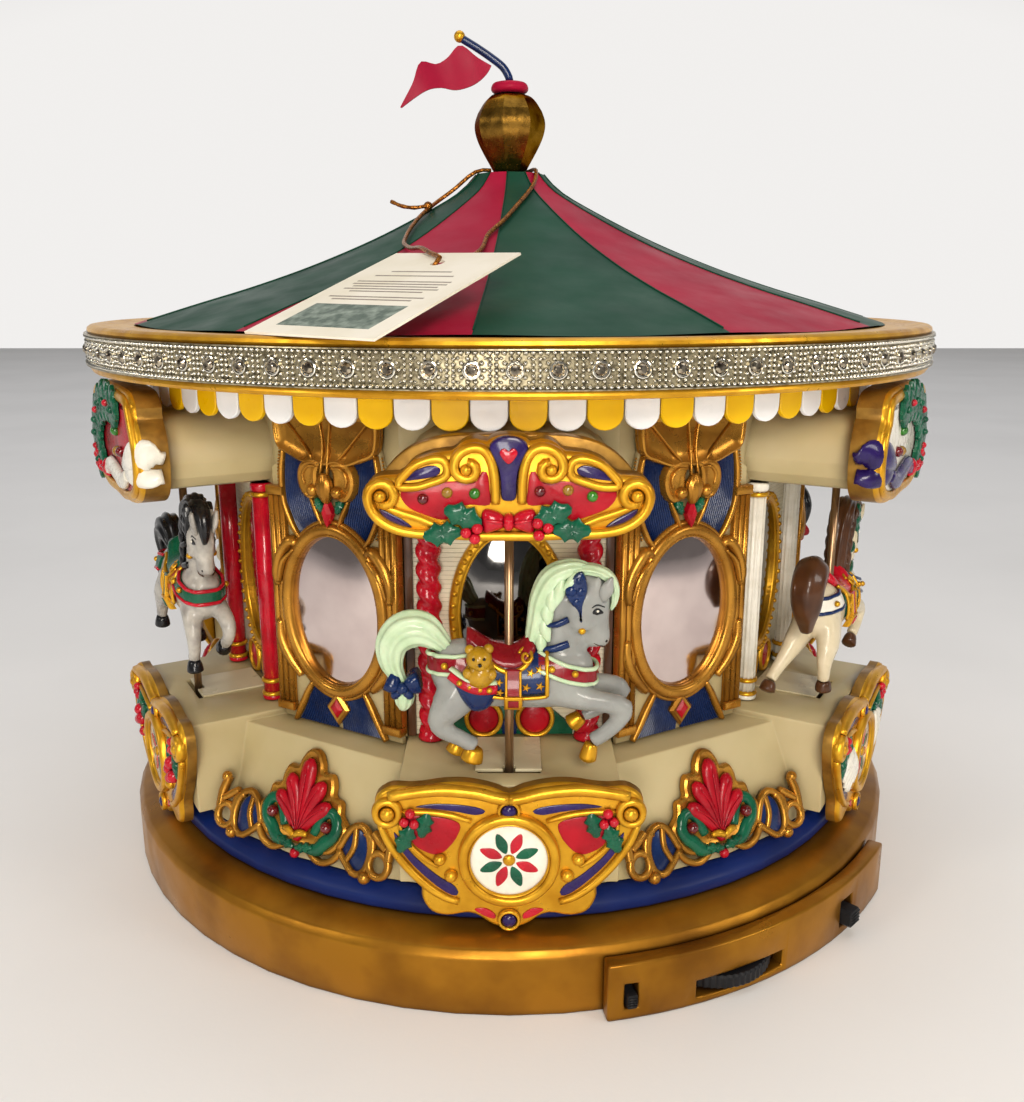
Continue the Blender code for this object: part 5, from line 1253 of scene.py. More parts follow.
@dataclass
class Bay:
    """A hollow behind a horse: boarded wall, two columns, an oval mirror and a low painted panel."""

    back: float = 88.3
    wall: float = 94.4
    low: float = 62.3
    high: float = 131.7
    board: float = 1.3
    half: float = 27.0
    twisted_at: tuple[float, float] = (22.4, 96.6)
    smooth_at: tuple[float, float] = (20.0, 98.2)
    ring_heights: tuple[float, ...] = (64.2, 68.6, 128.2)
    mirror: tuple[float, float, float] = (98.5, 13.6, 23.4)

    def boards(self) -> Shell:
        """Grooved boards: the face of each is flat, and steps back by 0.16 mm at its head."""
        count = int((self.high - self.low) / self.board)
        share, step = np.array([(0.0, 0.0), (0.86, -0.02), (0.98, -0.16)]).T
        z = (self.low + (np.arange(count)[:, None] + share) * self.board).ravel()
        h, back = np.full(z.size, self.half), np.full(z.size, self.back)
        out = self.wall + np.tile(step, count)
        corners = ((-h, out), (h, out), (h, back), (-h, back))
        return skin(np.stack([np.column_stack([x, z, o]) for x, o in corners], 1))

    def piece(self, column: Column) -> Piece:
        """One bay in the arm's plane."""
        f = self.wall
        z, wide, high = self.mirror
        made = Piece("bay")
        made.add(SIDING, self.boards())
        cheek = rect(-29.3, self.low, -27, self.high)
        made.pair(BROWN if column is not Column.FLUTED else CREAM, moulding(cheek, self.back, 96.2, 0.3))
        glass = moulding(oval(0, z, wide + 0.6, high + 0.6, 64), f - 0.8, f + 0.8, 0.2)
        # The bays with twisted and fluted columns take the darker mirror: painted shade.
        made.add(MIRROR if column is Column.PLAIN else SHADED_MIRROR, glass)
        made.add(GOLD, ribbon(oval(0, z, wide + 1.8, high + 1.8, 40), f + 0.2, 3.6, 1.9, 96, 12, loop=True),
            ribbon(oval(0, z, wide + 0.6, high + 0.6, 40), f + 0.6, 0.9, 1.3, 96, 8, loop=True))
        ring = oval(0, z, wide + 2.3, high + 2.3, 46)
        made.add(GOLD, copies(bead(0.95, 4, 8), *upright(np.column_stack([ring, np.full(46, f + 1.8)]))))
        self.columns(made, column)
        self.foot(made)
        return made

    def columns(self, made: Piece, column: Column) -> None:
        """Two columns: red rope, or smooth red or fluted white ones with gold rings and round ends."""
        if column is Column.TWISTED:
            x, out = self.twisted_at
            rope = tube([(x, y, out, 3.2, 3.2) for y in (self.low + 2, 98, self.high)], 190, 20, ridges=2,
                depth=0.15, twist=2 * math.pi * 12.5)
            foot = tube([(x, self.low, out, 3.9, 3.9), (x, self.low + 1.4, out, 3.7, 3.7),
                (x, self.low + 3.2, out, 2.6, 2.6)], 8, 28)
            made.pair(BRIGHT_RED, rope, foot)
            return
        x, out = self.smooth_at
        fluted = column is Column.FLUTED
        shaft = tube([(x, y, out, 2.7, 2.7) for y in (self.low, 98, self.high)], 4, 72, ridges=column.value,
            depth=0.05)
        ends = [tube([(x, y, out, wide, wide) for y, wide in ((low, 3.1), (low + 0.4, 3.3), (high - 0.4, 3.3),
            (high, 3))], 8, 28) for low, high in ((self.low, self.low + 1.6), (129.2, self.high))]
        made.pair(WHITE if fluted else BRIGHT_RED, shaft, *ends)
        for y in self.ring_heights:
            ring = tube([(x, y - 0.8, out, 2.7, 2.7), (x, y - 0.4, out, 3.4, 3.4),
                (x, y + 0.4, out, 3.4, 3.4), (x, y + 0.8, out, 2.7, 2.7)], 9, 28)
            made.pair(GOLD, ring)

    def foot(self, made: Piece) -> None:
        """A green band with a navy tongue and two gold-rimmed red ovals."""
        f = self.wall
        band = mirrored([(0, 73.8), (-7, 73.6), (-13.4, 69.4), (-18.4, 65), (-18.4, self.low + 0.2)])
        made.add(GREEN, moulding(band, f - 0.6, f + 0.9, 0.4))
        tongue = [(-2, self.low + 0.4), (-2.4, 66), (0, 69.6), (2.4, 66), (2, self.low + 0.4)]
        made.add(NAVY, moulding(np.array(tongue), f, f + 1.3, 0.3))
        made.pair(CRIMSON, dome(oval(-7.4, 67.6, 4.6, 4.9, 32), f + 0.8, 1.2))
        made.pair(GOLD, ribbon(oval(-7.4, 67.6, 5, 5.2, 24), f + 0.9, 1.5, 1.4, 48, 8, loop=True))


# The horses
@dataclass(frozen=True)
class Coat:
    """A horse's colours."""

    body: Finish
    hair: Finish
    hoof: Finish
    saddle: Finish
    blanket: Finish
    band: Finish
    piping: Finish
    bow: Finish


COATS = (Coat(GREY_COAT, MINT, GOLD, MAROON, NAVY, MAROON, MINT, NAVY),
    Coat(CREAM_COAT, BROWN, BROWN, BRIGHT_RED, GREEN, WHITE, NAVY, GREEN),
    Coat(BAY_COAT, BLACK, GOLD, GREEN, CRIMSON, GREEN, WHITE, CRIMSON),
    Coat(PALE_COAT, MINT, GOLD, NAVY, MAROON, NAVY, WHITE, MAROON),
    Coat(CREAM_COAT, OCHRE, GOLD, CRIMSON, NAVY, CRIMSON, WHITE, NAVY),
    Coat(DAPPLE_COAT, BLACK, BLACK, GREEN, CRIMSON, GREEN, BRIGHT_RED, BLACK))


class Stride(Enum):
    """The legs: hind near, hind far, fore near and fore far, as (along, up, out, half width, half depth).

    The last of each leg's points is the middle of its hoof's sole.
    """

    GALLOP = (((-11.5, 88, 3.2, 6.8, 4), (-15.6, 82.6, 4.6, 5, 3.6), (-18.4, 78.2, 4.9, 3.2, 2.6),
        (-17, 75.6, 4.8, 2.6, 2.2), (-12.8, 73.4, 4.7, 2.3, 2), (-8.9, 71, 4.6, 2.3, 2),
        (-10.2, 66.6, 4.6, 2.6, 2.3)), ((-11, 87, -3.2, 6.4, 4), (-16, 80, -4.6, 4.6, 3.5),
        (-18.6, 75.6, -4.8, 2.9, 2.4), (-17.6, 72.6, -4.7, 2.3, 2), (-15.4, 70.2, -4.6, 2.1, 1.9),
        (-13.6, 68.4, -4.5, 2, 1.9), (-15, 64.8, -4.5, 2.3, 2.1)), ((11.5, 87, 2.6, 5.4, 3.8),
        (18.5, 84.6, 4, 3.5, 3.1), (25.4, 83.4, 4.6, 2.9, 2.6), (30, 81.9, 4.6, 2.9, 2.5),
        (28.6, 78.3, 4.6, 2.4, 2.2), (25.2, 74.8, 4.6, 2.2, 2), (21.8, 72.6, 4.6, 2.2, 2),
        (20.6, 66.8, 4.6, 2, 1.8)), ((12, 87, -2.6, 5.2, 3.8), (20.6, 85.6, -4, 3.2, 2.9),
        (27.6, 85.2, -4.4, 2.6, 2.3), (30.6, 83.4, -4.4, 2.5, 2.2), (27.2, 79.8, -4.4, 2.1, 1.9),
        (22.8, 77.2, -4.4, 1.9, 1.8), (20, 76, -4.4, 1.9, 1.8), (16.4, 73.2, -4.4, 2.2, 2)),)
    LEAP = (((-11.5, 88, 3.2, 6.8, 4), (-16, 82, 4.6, 5, 3.6), (-19.2, 77, 4.8, 3.1, 2.5),
        (-19.6, 73, 4.8, 2.3, 2), (-18.6, 70.4, 4.7, 2.1, 1.9), (-18, 66.4, 4.7, 2.3, 2.1)),
        ((-11, 87, -3.2, 6.4, 4), (-17.6, 81.2, -4.8, 4.6, 3.4), (-22.6, 76.6, -6.6, 2.9, 2.4),
        (-26.2, 73, -8.2, 2.2, 1.9), (-28.4, 70.8, -9, 2, 1.9), (-30.4, 67.6, -9.4, 2.3, 2.1)),
        ((11.5, 87, 2.6, 5.4, 3.8), (19.8, 84, 4, 3.4, 3), (26.8, 80.8, 4.6, 2.7, 2.4),
        (25, 76.6, 4.6, 2.2, 2), (20.6, 74.4, 4.6, 2, 1.9), (18.6, 73.8, 4.6, 2, 1.8),
        (15.2, 71.2, 4.6, 2.2, 2)), ((12, 87.4, -2.6, 5.2, 3.8), (21.6, 85.6, -4, 3.1, 2.8),
        (29.2, 83.2, -4.4, 2.6, 2.3), (27.6, 79.2, -4.4, 2.1, 1.9), (23, 76.8, -4.4, 1.9, 1.8),
        (21.4, 76, -4.4, 1.9, 1.8), (18.4, 73, -4.4, 2.2, 2)),)
    CANTER = (((-11.5, 88, 3.2, 6.8, 4), (-17.4, 82.8, 4.6, 4.8, 3.5), (-22, 78.2, 4.8, 2.9, 2.4),
        (-24, 74.4, 4.8, 2.2, 1.9), (-24.8, 72.6, 4.8, 2, 1.9), (-25.6, 68.4, 4.8, 2.3, 2.1)),
        ((-11, 87, -3.2, 6.4, 4), (-15.6, 79.6, -4.6, 4.8, 3.5), (-18.2, 74.4, -4.8, 2.9, 2.4),
        (-16.2, 70.8, -4.7, 2.2, 1.9), (-14.2, 69, -4.6, 2, 1.9), (-15, 65, -4.6, 2.3, 2.1)),
        ((11.5, 87, 2.6, 5.4, 3.8), (17.6, 83, 4, 3.4, 3), (20.6, 77.8, 4.6, 2.6, 2.3),
        (20.2, 73.4, 4.6, 2.1, 1.9), (18.8, 70.6, 4.6, 2, 1.9), (19.4, 66.2, 4.6, 2.3, 2.1)),
        ((12, 87, -2.6, 5.2, 3.8), (21.2, 85, -4, 3.1, 2.8), (27.2, 82, -4.4, 2.6, 2.3),
        (26.2, 78.2, -4.4, 2.1, 1.9), (22.8, 75.6, -4.4, 1.9, 1.8), (21.4, 74.8, -4.4, 1.9, 1.8),
        (18.2, 72, -4.4, 2.2, 2)),)


@dataclass
class Horse:
    """A galloping horse on a rod, seen from its near side, at the low end of its stroke.

    Its out is measured from the rod's plane, at pole_radius from the axis.
    """

    number: int
    coat: Coat
    stride: Stride
    lift: float
    pole_radius: float = 117.0
    voxel: float = 0.76
    trunk: tuple = ((-20.4, 92.2, 0, 3, 2.2), (-18.4, 92, 0, 6.2, 4.8), (-14, 91, 0, 8.9, 6.8),
        (-8, 89.5, 0, 8.7, 6.9), (0, 88.7, 0, 8, 6.7), (8, 89, 0, 8.6, 6.9), (15, 89.8, 0, 8.6, 6.6),
        (19.6, 90.2, 0, 6.8, 5.2), (22.2, 90.4, 0, 4.2, 3))
    neck: tuple = ((13, 90, 0, 8.6, 5.6), (13.9, 97, 0, 6.5, 4), (13.4, 103, 0, 5.2, 3),
        (13.6, 109, 0, 4.4, 2.7), (15.4, 114, 0, 3.8, 2.5), (17.6, 117.6, 0, 2.2, 1.8))
    head: tuple = ((18, 117.4, 0, 1.6, 1.6), (20.6, 114, 0, 4.9, 2.9), (21, 109.6, 0, 5.6, 3.4),
        (21.8, 105, 0, 4.5, 3), (22.6, 101.8, 0, 3.8, 2.5), (22.9, 99.6, 0, 3.8, 2.7),
        (23, 97.6, 0, 2.8, 2.1))
    cheek: tuple = ((17.6, 110.4, 1.5, 3.4, 2.7), (18, 106.6, 1.5, 4.6, 2.7), (19.6, 102.6, 1.5, 2.6, 2.7))
    ear: tuple = ((21.9, 112.6, 2.2, 1.7, 1.1), (22.4, 114.8, 2.9, 1.8, 1), (22.8, 117.4, 3.1, 0.4, 0.4))
    brow: tuple = ((22.9, 110.4, 2.2, 1.6, 1), (24.3, 107.4, 1.9, 1.4, 0.9), (24.6, 103, 1.4, 1.2, 0.8))
    hoof: tuple = ((0.1, 0.82), (0.3, 1), (0.6, 1.13), (0.88, 1.18), (0.97, 1.08), (1, 0.75))

    def place(self, p: Array) -> Array:
        """The horse's own points in the carousel's frame."""
        return on_arm((self.number - 1) * ARM_STEP)(p + (0.0, self.lift, self.pole_radius))

    def at(self, along: Array | float) -> tuple[Array, Array, Array]:
        """The trunk's middle height, half height and half width at a place along it."""
        knots = np.asarray(self.trunk)
        return tuple(np.interp(along, knots[:, 0], knots[:, k]) for k in (1, 3, 4))

    def laid(self, p: Array) -> Array:
        """A flat relief, whose out is a height above the skin, laid on the trunk's near side.

        At a height the skin is at half width * sqrt(1 - (height over the middle / half height)^2).
        """
        middle, tall, wide = self.at(p[:, 0])
        share = np.clip((p[:, 1] - middle) / (tall + p[:, 2]), -0.96, 0.96)
        return np.column_stack([p[:, :2], (wide + p[:, 2]) * np.sqrt(1.0 - share**2)])

    def wrapped(self, edges: Line, thick: float, sides: int = 26, step: Callable | None = None) -> Shell:
        """A cloth over the trunk.

        At each station along the horse the cloth's outer line is the trunk's oval grown by thick, from minus
        reach to plus reach in degrees from the top, and its inner line lies inside the trunk.

        Args:
            edges: (along, reach) stations.
            thick: how far the cloth stands out of the trunk.
            sides: points across it.
            step: extra height as a function of along and the angle.

        Returns:
            The closed cloth.
        """
        line = curve([(a, reach, 0) for a, reach in edges], 20)
        along, u = line[:, :1], np.linspace(-1.0, 1.0, sides)[None]
        angle = np.radians(line[:, 1:2]) * u
        middle, tall, wide = self.at(along)
        grow = thick * np.minimum(1.0, (1.0 - np.abs(u)) * 8.0) ** 0.5 + 0 * along
        if step is not None:
            grow = grow + step(along, angle)
        level, sin, cos = along + 0 * grow, np.sin(angle), np.cos(angle)
        outer = np.stack([level, middle + (tall + grow) * cos, (wide + np.minimum(grow, thick)) * sin], -1)
        inner = np.stack([level, middle + (tall - 0.8) * cos, (wide - 0.8) * sin], -1)
        return skin(np.concatenate([outer, inner[:, ::-1]], 1), soft=True)

    def flesh(self) -> None:
        """Trunk, neck, head, cheeks, ears and legs grown into one body by remeshing overlapping ovals."""
        parts = [tube(self.trunk, 30, 20), tube(self.neck, 26, 18), tube(self.head, 28, 18)]
        parts += [tube(leg[:-1], 30, 14) for leg in self.stride.value]
        for side in (1.0, -1.0):
            for knots, count, sides in ((self.cheek, 14, 16), (self.ear, 10, 10), (self.brow, 10, 10)):
                parts.append(tube(np.array(knots) * (1.0, 1.0, side, 1.0, 1.0), count, sides))
        mesh = bpy.data.meshes.new(f"horse_body_{self.number}")
        write(mesh, [part.moved(self.place) for part in parts])
        made = stand(mesh.name, mesh)
        grown = made.modifiers.new("one_skin", "REMESH")
        grown.mode, grown.voxel_size = "VOXEL", self.voxel * MM
        eased = made.modifiers.new("eased", "SMOOTH")
        eased.factor, eased.iterations = 0.5, 4
        body = finished(made)
        body.materials.clear()
        body.materials.append(self.coat.body.material())
        settle(made, f"rider_{self.number}", f"horse_{self.number}")

    def hair(self, made: Piece) -> None:
        """The mane with locks on both sides, the forelock and the curved tail, with twisting ridges."""
        hair = self.coat.hair
        mane = [(20.6, 118.4, 0, 1.4, 1.8), (16.4, 118.6, 0, 2.4, 3), (11.4, 116.2, 0, 3.1, 3.6),
            (8.6, 110.8, 0, 3, 3.4), (7.6, 104.4, 0, 2.9, 3.3), (6.5, 98.6, 0, 2.3, 3), (6.2, 95, 0, 1, 1.4)]
        forelock = [(16.6, 118.2, 0.6, 1.4, 2.2), (21.4, 118.4, 0.6, 1.5, 2.6), (25.4, 116.6, 0.6, 1.5, 2.4),
            (27.2, 113.4, 0.6, 1.3, 1.9), (27.3, 110, 0.6, 0.9, 1.3), (26.4, 107.6, 0.6, 0.4, 0.6)]
        made.add(hair, tube(mane, 60, 46, ridges=9, depth=0.08, twist=3.6))
        made.add(hair, tube(forelock, 36, 36, ridges=7, depth=0.09, twist=2.2))
        locks = ((13.6, 116.4, -2.2, -7.6, 1.5), (11.2, 114.2, -0.6, -7, 1.6), (9.6, 110.2, 0.6, -6.4, 1.6),
            (8.8, 106, 1.4, -6.2, 1.5), (8.2, 102, 0.2, -6, 1.4), (17.6, 117.8, -4, -4.4, 1.4))
        for side in (1.0, -1.0):
            for x, y, dx, dy, size in locks:
                lock = [(x, y, 2.2 * side, size * 0.8, 1), (x + dx * 0.4, y + dy * 0.5, 3.4 * side, size, 1),
                    (x + dx, y + dy, 3.3 * side, size * 0.35, 0.5)]
                made.add(hair, tube(lock, 14, 14, ridges=4, depth=0.08, twist=1.6))
        if self.number == 2:
            tail = [(-15.6, 96.4, 0, 2, 2.2), (-18.6, 101.8, 0, 3.8, 3.8), (-23.4, 104.8, 0, 5, 4.8),
                (-27.2, 101.4, 0, 5.4, 5), (-27.8, 95.4, 0, 4.6, 4.4), (-26.6, 90.4, 0, 2.8, 2.8),
                (-25.6, 87.4, 0, 1.9, 1.9)]
            made.add(hair, tube(tail, 60, 48, ridges=6, depth=0.03, twist=-3.0))
            return
        tail = [(-15.6, 95.8, 0, 1.6, 2), (-18.6, 99.2, 0, 3, 3.2), (-22.6, 102, 0, 4.6, 4),
            (-27.2, 101.8, 0, 4.9, 4.2), (-30.6, 98.2, 0, 4.2, 3.8), (-31, 93.2, 0, 3.1, 3),
            (-29.4, 88.6, 0, 2, 2.2), (-27.9, 84.6, 0, 2.6, 2.5), (-28, 81.4, 0, 2.2, 2.1),
            (-28.4, 79.4, 0, 0.8, 0.8)]
        made.add(hair, tube(tail, 70, 46, ridges=9, depth=0.08, twist=-4.0))
        parts = [ball(-28, 86.6, 1.7, 2.6, 1, 8, 16)]
        for x, y, turn, size in ((-28.6, 86.8, 158, 2.5), (-27.4, 87, 18, 2.7)):
            dx, dy = 3.4 * math.cos(math.radians(turn)), 3.4 * math.sin(math.radians(turn))
            parts.append(tube([(x, y, 1.2, 1, 1.2), (x + dx * 0.5, y + dy * 0.5, 1.6, size, 2.4),
                (x + dx, y + dy, 1.2, size * 1.15, 2.4)], 14, 16, ridges=3, depth=0.12))
        for x in (-29.9, -26.4):
            end = [(-28.1, 86, 1.8, 0.9, 1.2), (x, 84.6, 1.8, 1.5, 1.3), (x, 83.4, 1.8, 0.8, 0.8)]
            parts.append(tube(end, 10, 12))
        made.pair(self.coat.bow, *parts, flip=FAR)

    def face(self, made: Piece) -> None:
        """Eyes with a painted highlight, nostrils with painted shade, the bridle with its bow, and the reins.
        """
        coat = self.coat
        bow = [(18.6, 118.6), (16.4, 117.4), (14.3, 114.4), (14.5, 112.4), (15.7, 110.2), (17.3, 108.3),
            (18.2, 104.9), (18.9, 105.4), (19, 109.8), (20, 113.1), (19.8, 116)]
        knots = [ball(x, y, size, 3.7, 0.7, 6, 12) for x, y, size in ((15.9, 113.6, 1.7), (18.2, 113.4, 1.5),
            (17.2, 110.6, 1.4), (17.8, 116.4, 1.3))]
        reins = [tube([(x0, y - 0.8, 3.5, tall * 0.6, 0.5), ((x0 + x1) / 2, y - 0.3, 4.1, tall, 0.6),
            (x1, y + 0.8, 3.5, tall, 0.5)], 14, 10) for y, x0, x1, tall in ((105, 9.6, 15.2, 0.9),
            (98.4, 8, 15.4, 1.1))]
        made.pair(coat.bow, moulding(curve(bow, 40, True), 2.2, 4.3, 0.8), *knots, *reins, flip=FAR)
        eye = [(21.2, 107.4, 2.95, 0.25, 0.3), (22.6, 107.8, 3.1, 1, 0.45), (24.2, 107.4, 2.7, 0.25, 0.3)]
        lash = [(20.9, 108.6, 3.05, 0.2, 0.3), (22.6, 109.6, 3.1, 0.26, 0.35), (24.6, 108.9, 2.5, 0.18, 0.3)]
        mouth = [(25.2, 97.6, 1.3, 0.12, 0.25), (23.4, 98.2, 2.2, 0.15, 0.25), (22, 99, 2.2, 0.1, 0.2)]
        ear = [(24.2, 110.4, 2.2, 0.9, 0.7), (24.9, 113.6, 3.1, 1.9, 1), (26.2, 117, 3.6, 0.4, 0.4)]
        # A black dot stands for the nostril's hollow: painted shade.
        nostril = ball(25.2, 99.4, 0.5, 1.7, 0.4, 5, 8)
        made.pair(BLACK, tube(eye, 12, 12), tube(lash, 12, 8), nostril, flip=FAR)
        # A white dot in each eye: a painted highlight.
        made.pair(WHITE, ball(22.8, 108, 0.38, 3.45, 1, 5, 8), flip=FAR)
        made.pair(BROWN, tube(mouth, 10, 6), flip=FAR)
        made.pair(GOLD, ball(18.8, 102.8, 1.05, 3.5, 1, 6, 12), flip=FAR)
        made.pair(coat.body, tube(ear, 14, 14), flip=FAR)

    def hem(self, line: Line, size: float) -> list[Shell]:
        """A cord laid along a line of (along, degrees from the top) on both sides of the trunk."""
        path = curve([(a, reach, 0) for a, reach in line], 30)
        middle, tall, wide = self.at(path[:, 0])
        cords = []
        for side in (1.0, -1.0):
            angle = np.radians(path[:, 1]) * side
            rows = np.column_stack([path[:, 0], middle + (tall + 0.9) * np.cos(angle),
                (wide + 0.9) * np.sin(angle), np.full((30, 2), size)])
            cords.append(tube(rows, 40, 8, up=(0.31, 0.23, 0.92)))
        return cords

    def harness(self, made: Piece) -> None:
        """Blanket, saddle, breast and rump bands with their piping and studs, girth and buckle."""
        hem = [(-4.8, 109), (2, 111), (9.8, 108)]
        made.add(self.coat.blanket, self.wrapped(hem, 0.9))
        made.add(GOLD, *self.hem([(-4.8, 40), (-4.8, 80), hem[0]], 0.5),
            *self.hem([(9.8, 30), (9.8, 70), hem[-1]], 0.6), *self.hem(hem, 0.55))

        def seat(along: Array, angle: Array) -> Array:
            """The cantle at the back and the pommel at the front rise over a hollow seat."""
            rise = np.exp(-((along + 10.2) / 3.6) ** 2) + np.exp(-((along - 5.2) / 1.9) ** 2)
            return 2.4 * rise * np.cos(np.clip(angle * 1.6, -1.57, 1.57))

        edge = [(-11, 28), (-9, 34), (-6.5, 40), (-4.2, 53), (-1.8, 60),
            (1, 62), (3.8, 55), (5.9, 38), (6.9, 28)]
        made.add(self.coat.saddle, self.wrapped(edge, 1.3, 28, seat))
        made.add(GOLD, *self.hem([(a, reach + 2.0) for a, reach in edge[1:-1]], 0.75))
        coil = self.laid(np.column_stack([spiral(4.4, 96.4, 0.4, 1.9, 0, 520, 16), np.full(16, 1.7)]))
        turns = np.linspace(0.0, 2 * math.pi, 10, endpoint=False)
        tips = np.column_stack([np.cos(turns), np.sin(turns)]) * np.tile([1.25, 0.5], 5)[:, None]
        star = relief(tips @ np.array([[0.31, 0.95], [-0.95, 0.31]]), [(0, 0.6), (0, 1.15), (0.25, 1.3)])
        spots = ((-2.6, 90.2), (5.6, 92.6), (4.4, 88.8), (8, 89.2), (-2.4, 87.4), (7.8, 93.4))
        stars = [star.moved(lambda p: self.laid(p + (x, y, 0.0))) for x, y in spots]
        made.pair(GOLD, tube(np.column_stack([coil, np.full((16, 2), 0.45)]), 44, 8), *stars, flip=FAR)
        buckle = rect(-1.3, 82.4, 3.5, 86.6)
        girth = [moulding(rect(-0.7, 86.4, 2.9, 93.6), 0.5, 1.9, 0.3),
            moulding(inset(buckle, 1), 1.6, 2.9, 0.3)]
        trim = [moulding(rect(x - 0.35, 86.4, x + 0.35, 93.4), 0.9, 2.2, 0.2) for x in (-0.7, 2.9)]
        trim.append(moulding(buckle, 0.9, 2.6, 0.5))
        for finish, shells in ((self.coat.saddle, girth), (GOLD, trim)):
            made.pair(finish, *(shell.moved(self.laid) for shell in shells), flip=FAR)
        self.strap(made, [(7.6, 95.2), (12.8, 93), (17, 91.6), (20, 90.8), (21.6, 90.4)], 2.0)
        self.strap(made, [(-10.4, 94.6), (-14.6, 94.3), (-18, 94), (-19.8, 93.7)], 2.2)
        studs = self.laid(np.array([(11, 93.6, 1.2), (17, 92.2, 1.2), (-16.6, 94.2, 1.2)]))
        made.pair(GOLD, copies(bead(0.95, 6, 12), *upright(studs)), flip=FAR)

    def strap(self, made: Piece, line: Line, tall: float) -> None:
        """A band laid on the skin from one flank round the body's end to the other, with piping on its edges.

        Args:
            made: the piece it is added to.
            line: (along, up) of its middle on a flank, from its free end to the body's end.
            tall: half its height.
        """
        flank = curve([(x, y, 0) for x, y in line], 16)[:, :2]
        x_end, y_end = flank[-1]
        away = math.copysign(0.9, x_end)
        turn = np.radians([22.5, 45.0, 67.5])
        level = np.linspace(-1.0, 1.0, 7)[None]

        def on_skin(lift: float, share: Array) -> Array:
            """The band's points at this height over the skin, and at these shares of its half height."""
            y = flank[:, 1:] + tall * share
            middle, half, wide = self.at(np.broadcast_to(flank[:, :1], y.shape))
            out = (wide + lift) * np.sqrt(np.clip(1.0 - ((y - middle) / (half + lift)) ** 2, 0.0, 1.0))
            side = np.stack([np.broadcast_to(flank[:, :1], y.shape), y, out], -1)
            tip = np.stack([np.full((3, share.shape[1]), x_end) + away * (1.0 + lift) * np.sin(turn)[:, None],
                np.full((3, 1), y_end) + tall * share, side[-1, :, 2][None] * np.cos(turn)[:, None]], -1)
            half_way = np.concatenate([side, tip])
            front = half_way[-1:] * (1.0, 1.0, 0.0) + (away * (1.0 + lift) * 0.08, 0.0, 0.0)
            return np.concatenate([half_way, front, half_way[::-1] * (1.0, 1.0, -1.0)])

        rows = np.concatenate([on_skin(0.9, level), on_skin(-0.8, level)[:, ::-1]], 1)
        made.add(self.coat.band, skin(rows))
        for share in (-1.0, 1.0):
            edge = on_skin(0.75, np.array([[share]]))[:, 0]
            made.add(self.coat.piping, tube(np.hstack([edge, np.full((len(edge), 2), 0.62)]), 72, 8,
                up=(0, 1, 0)))

    def hooves(self, made: Piece) -> None:
        """A hoof on each leg, wider toward its sole."""
        share, grow = np.array(self.hoof).T[..., None]
        for leg in self.stride.value:
            start, end = np.array(leg[-2:])
            rows = np.hstack([start[:3] + (end - start)[:3] * share, end[3:] * grow])
            made.add(self.coat.hoof, tube(rows, 12, 18))

    def build(self) -> None:
        """Make the body, the trappings and the rod."""
        self.flesh()
        rider = f"rider_{self.number}"
        made = Piece(f"horse_trappings_{self.number}", rider)
        self.hair(made)
        self.face(made)
        self.harness(made)
        self.hooves(made)
        if self.number == 1:
            self.pouch(made)
        made.placed(made.name, self.place).make()
        rod = tube([(0, y, 0, 1.2, 1.2) for y in (40, 90, 137)], 3, 24).moved(self.place)
        Piece(f"horse_rod_{self.number}", rider, (f"horse_pole_{self.number}",)).add(BRONZE, rod).make()

    def pouch(self, made: Piece) -> None:
        """A soft toy bear in a navy pouch on the near side, behind the saddle."""
        out = 7.0
        sack = [(-14.6, 92.8), (-14.4, 89.8), (-12.8, 85.8), (-10.8, 83), (-8.5, 81.6), (-5.2, 82.8),
            (-3.2, 86.2), (-2.6, 90), (-6, 90.6), (-10.6, 92)]
        cuff = [(-14.8, 92.4, out + 0.2, 1.6, 1.7), (-11.4, 90.4, out + 1.7, 1.6, 1.8),
            (-8, 89.2, out + 2, 1.6, 1.8), (-3.4, 88.8, out + 0.8, 1.6, 1.7)]
        studs = [ball(x, y, 0.8, out + 3.1, 1, 6, 12)
            for x, y in ((-12.6, 91), (-10, 89.9), (-7.4, 89.2), (-5, 89))]
        bear = [ball(x, y, size, out + deep, 1, 9, 18) for x, y, size, deep in ((-7.6, 96.9, 3.4, 1.6),
            (-10, 99.4, 1.3, 1.4), (-5.2, 99.6, 1.3, 1.4), (-7.4, 92.9, 4.1, 1), (-10.3, 93.6, 1.5, 3.1),
            (-4.6, 93.4, 1.5, 3.1), (-7.3, 95.9, 1.4, 3.9))]
        made.add(NAVY, dome(curve(sack, 40, True), out - 1.2, 3.8, 7))
        made.add(BRIGHT_RED, tube(cuff, 22, 12, power=0.7))
        made.add(MINT, tube([(x, y + 1.7, o + 0.3, 0.6, 1.6) for x, y, o, _, _ in cuff], 22, 10))
        made.add(GOLD, *studs).add(OCHRE, *bear)
        for x, y, size, deep in ((-7.3, 96.5, 0.55, 5.2), (-8.9, 97.9, 0.42, 4.6), (-6.2, 97.9, 0.42, 4.6)):
            made.add(BLACK, ball(x, y, size, out + deep, 1, 5, 8))


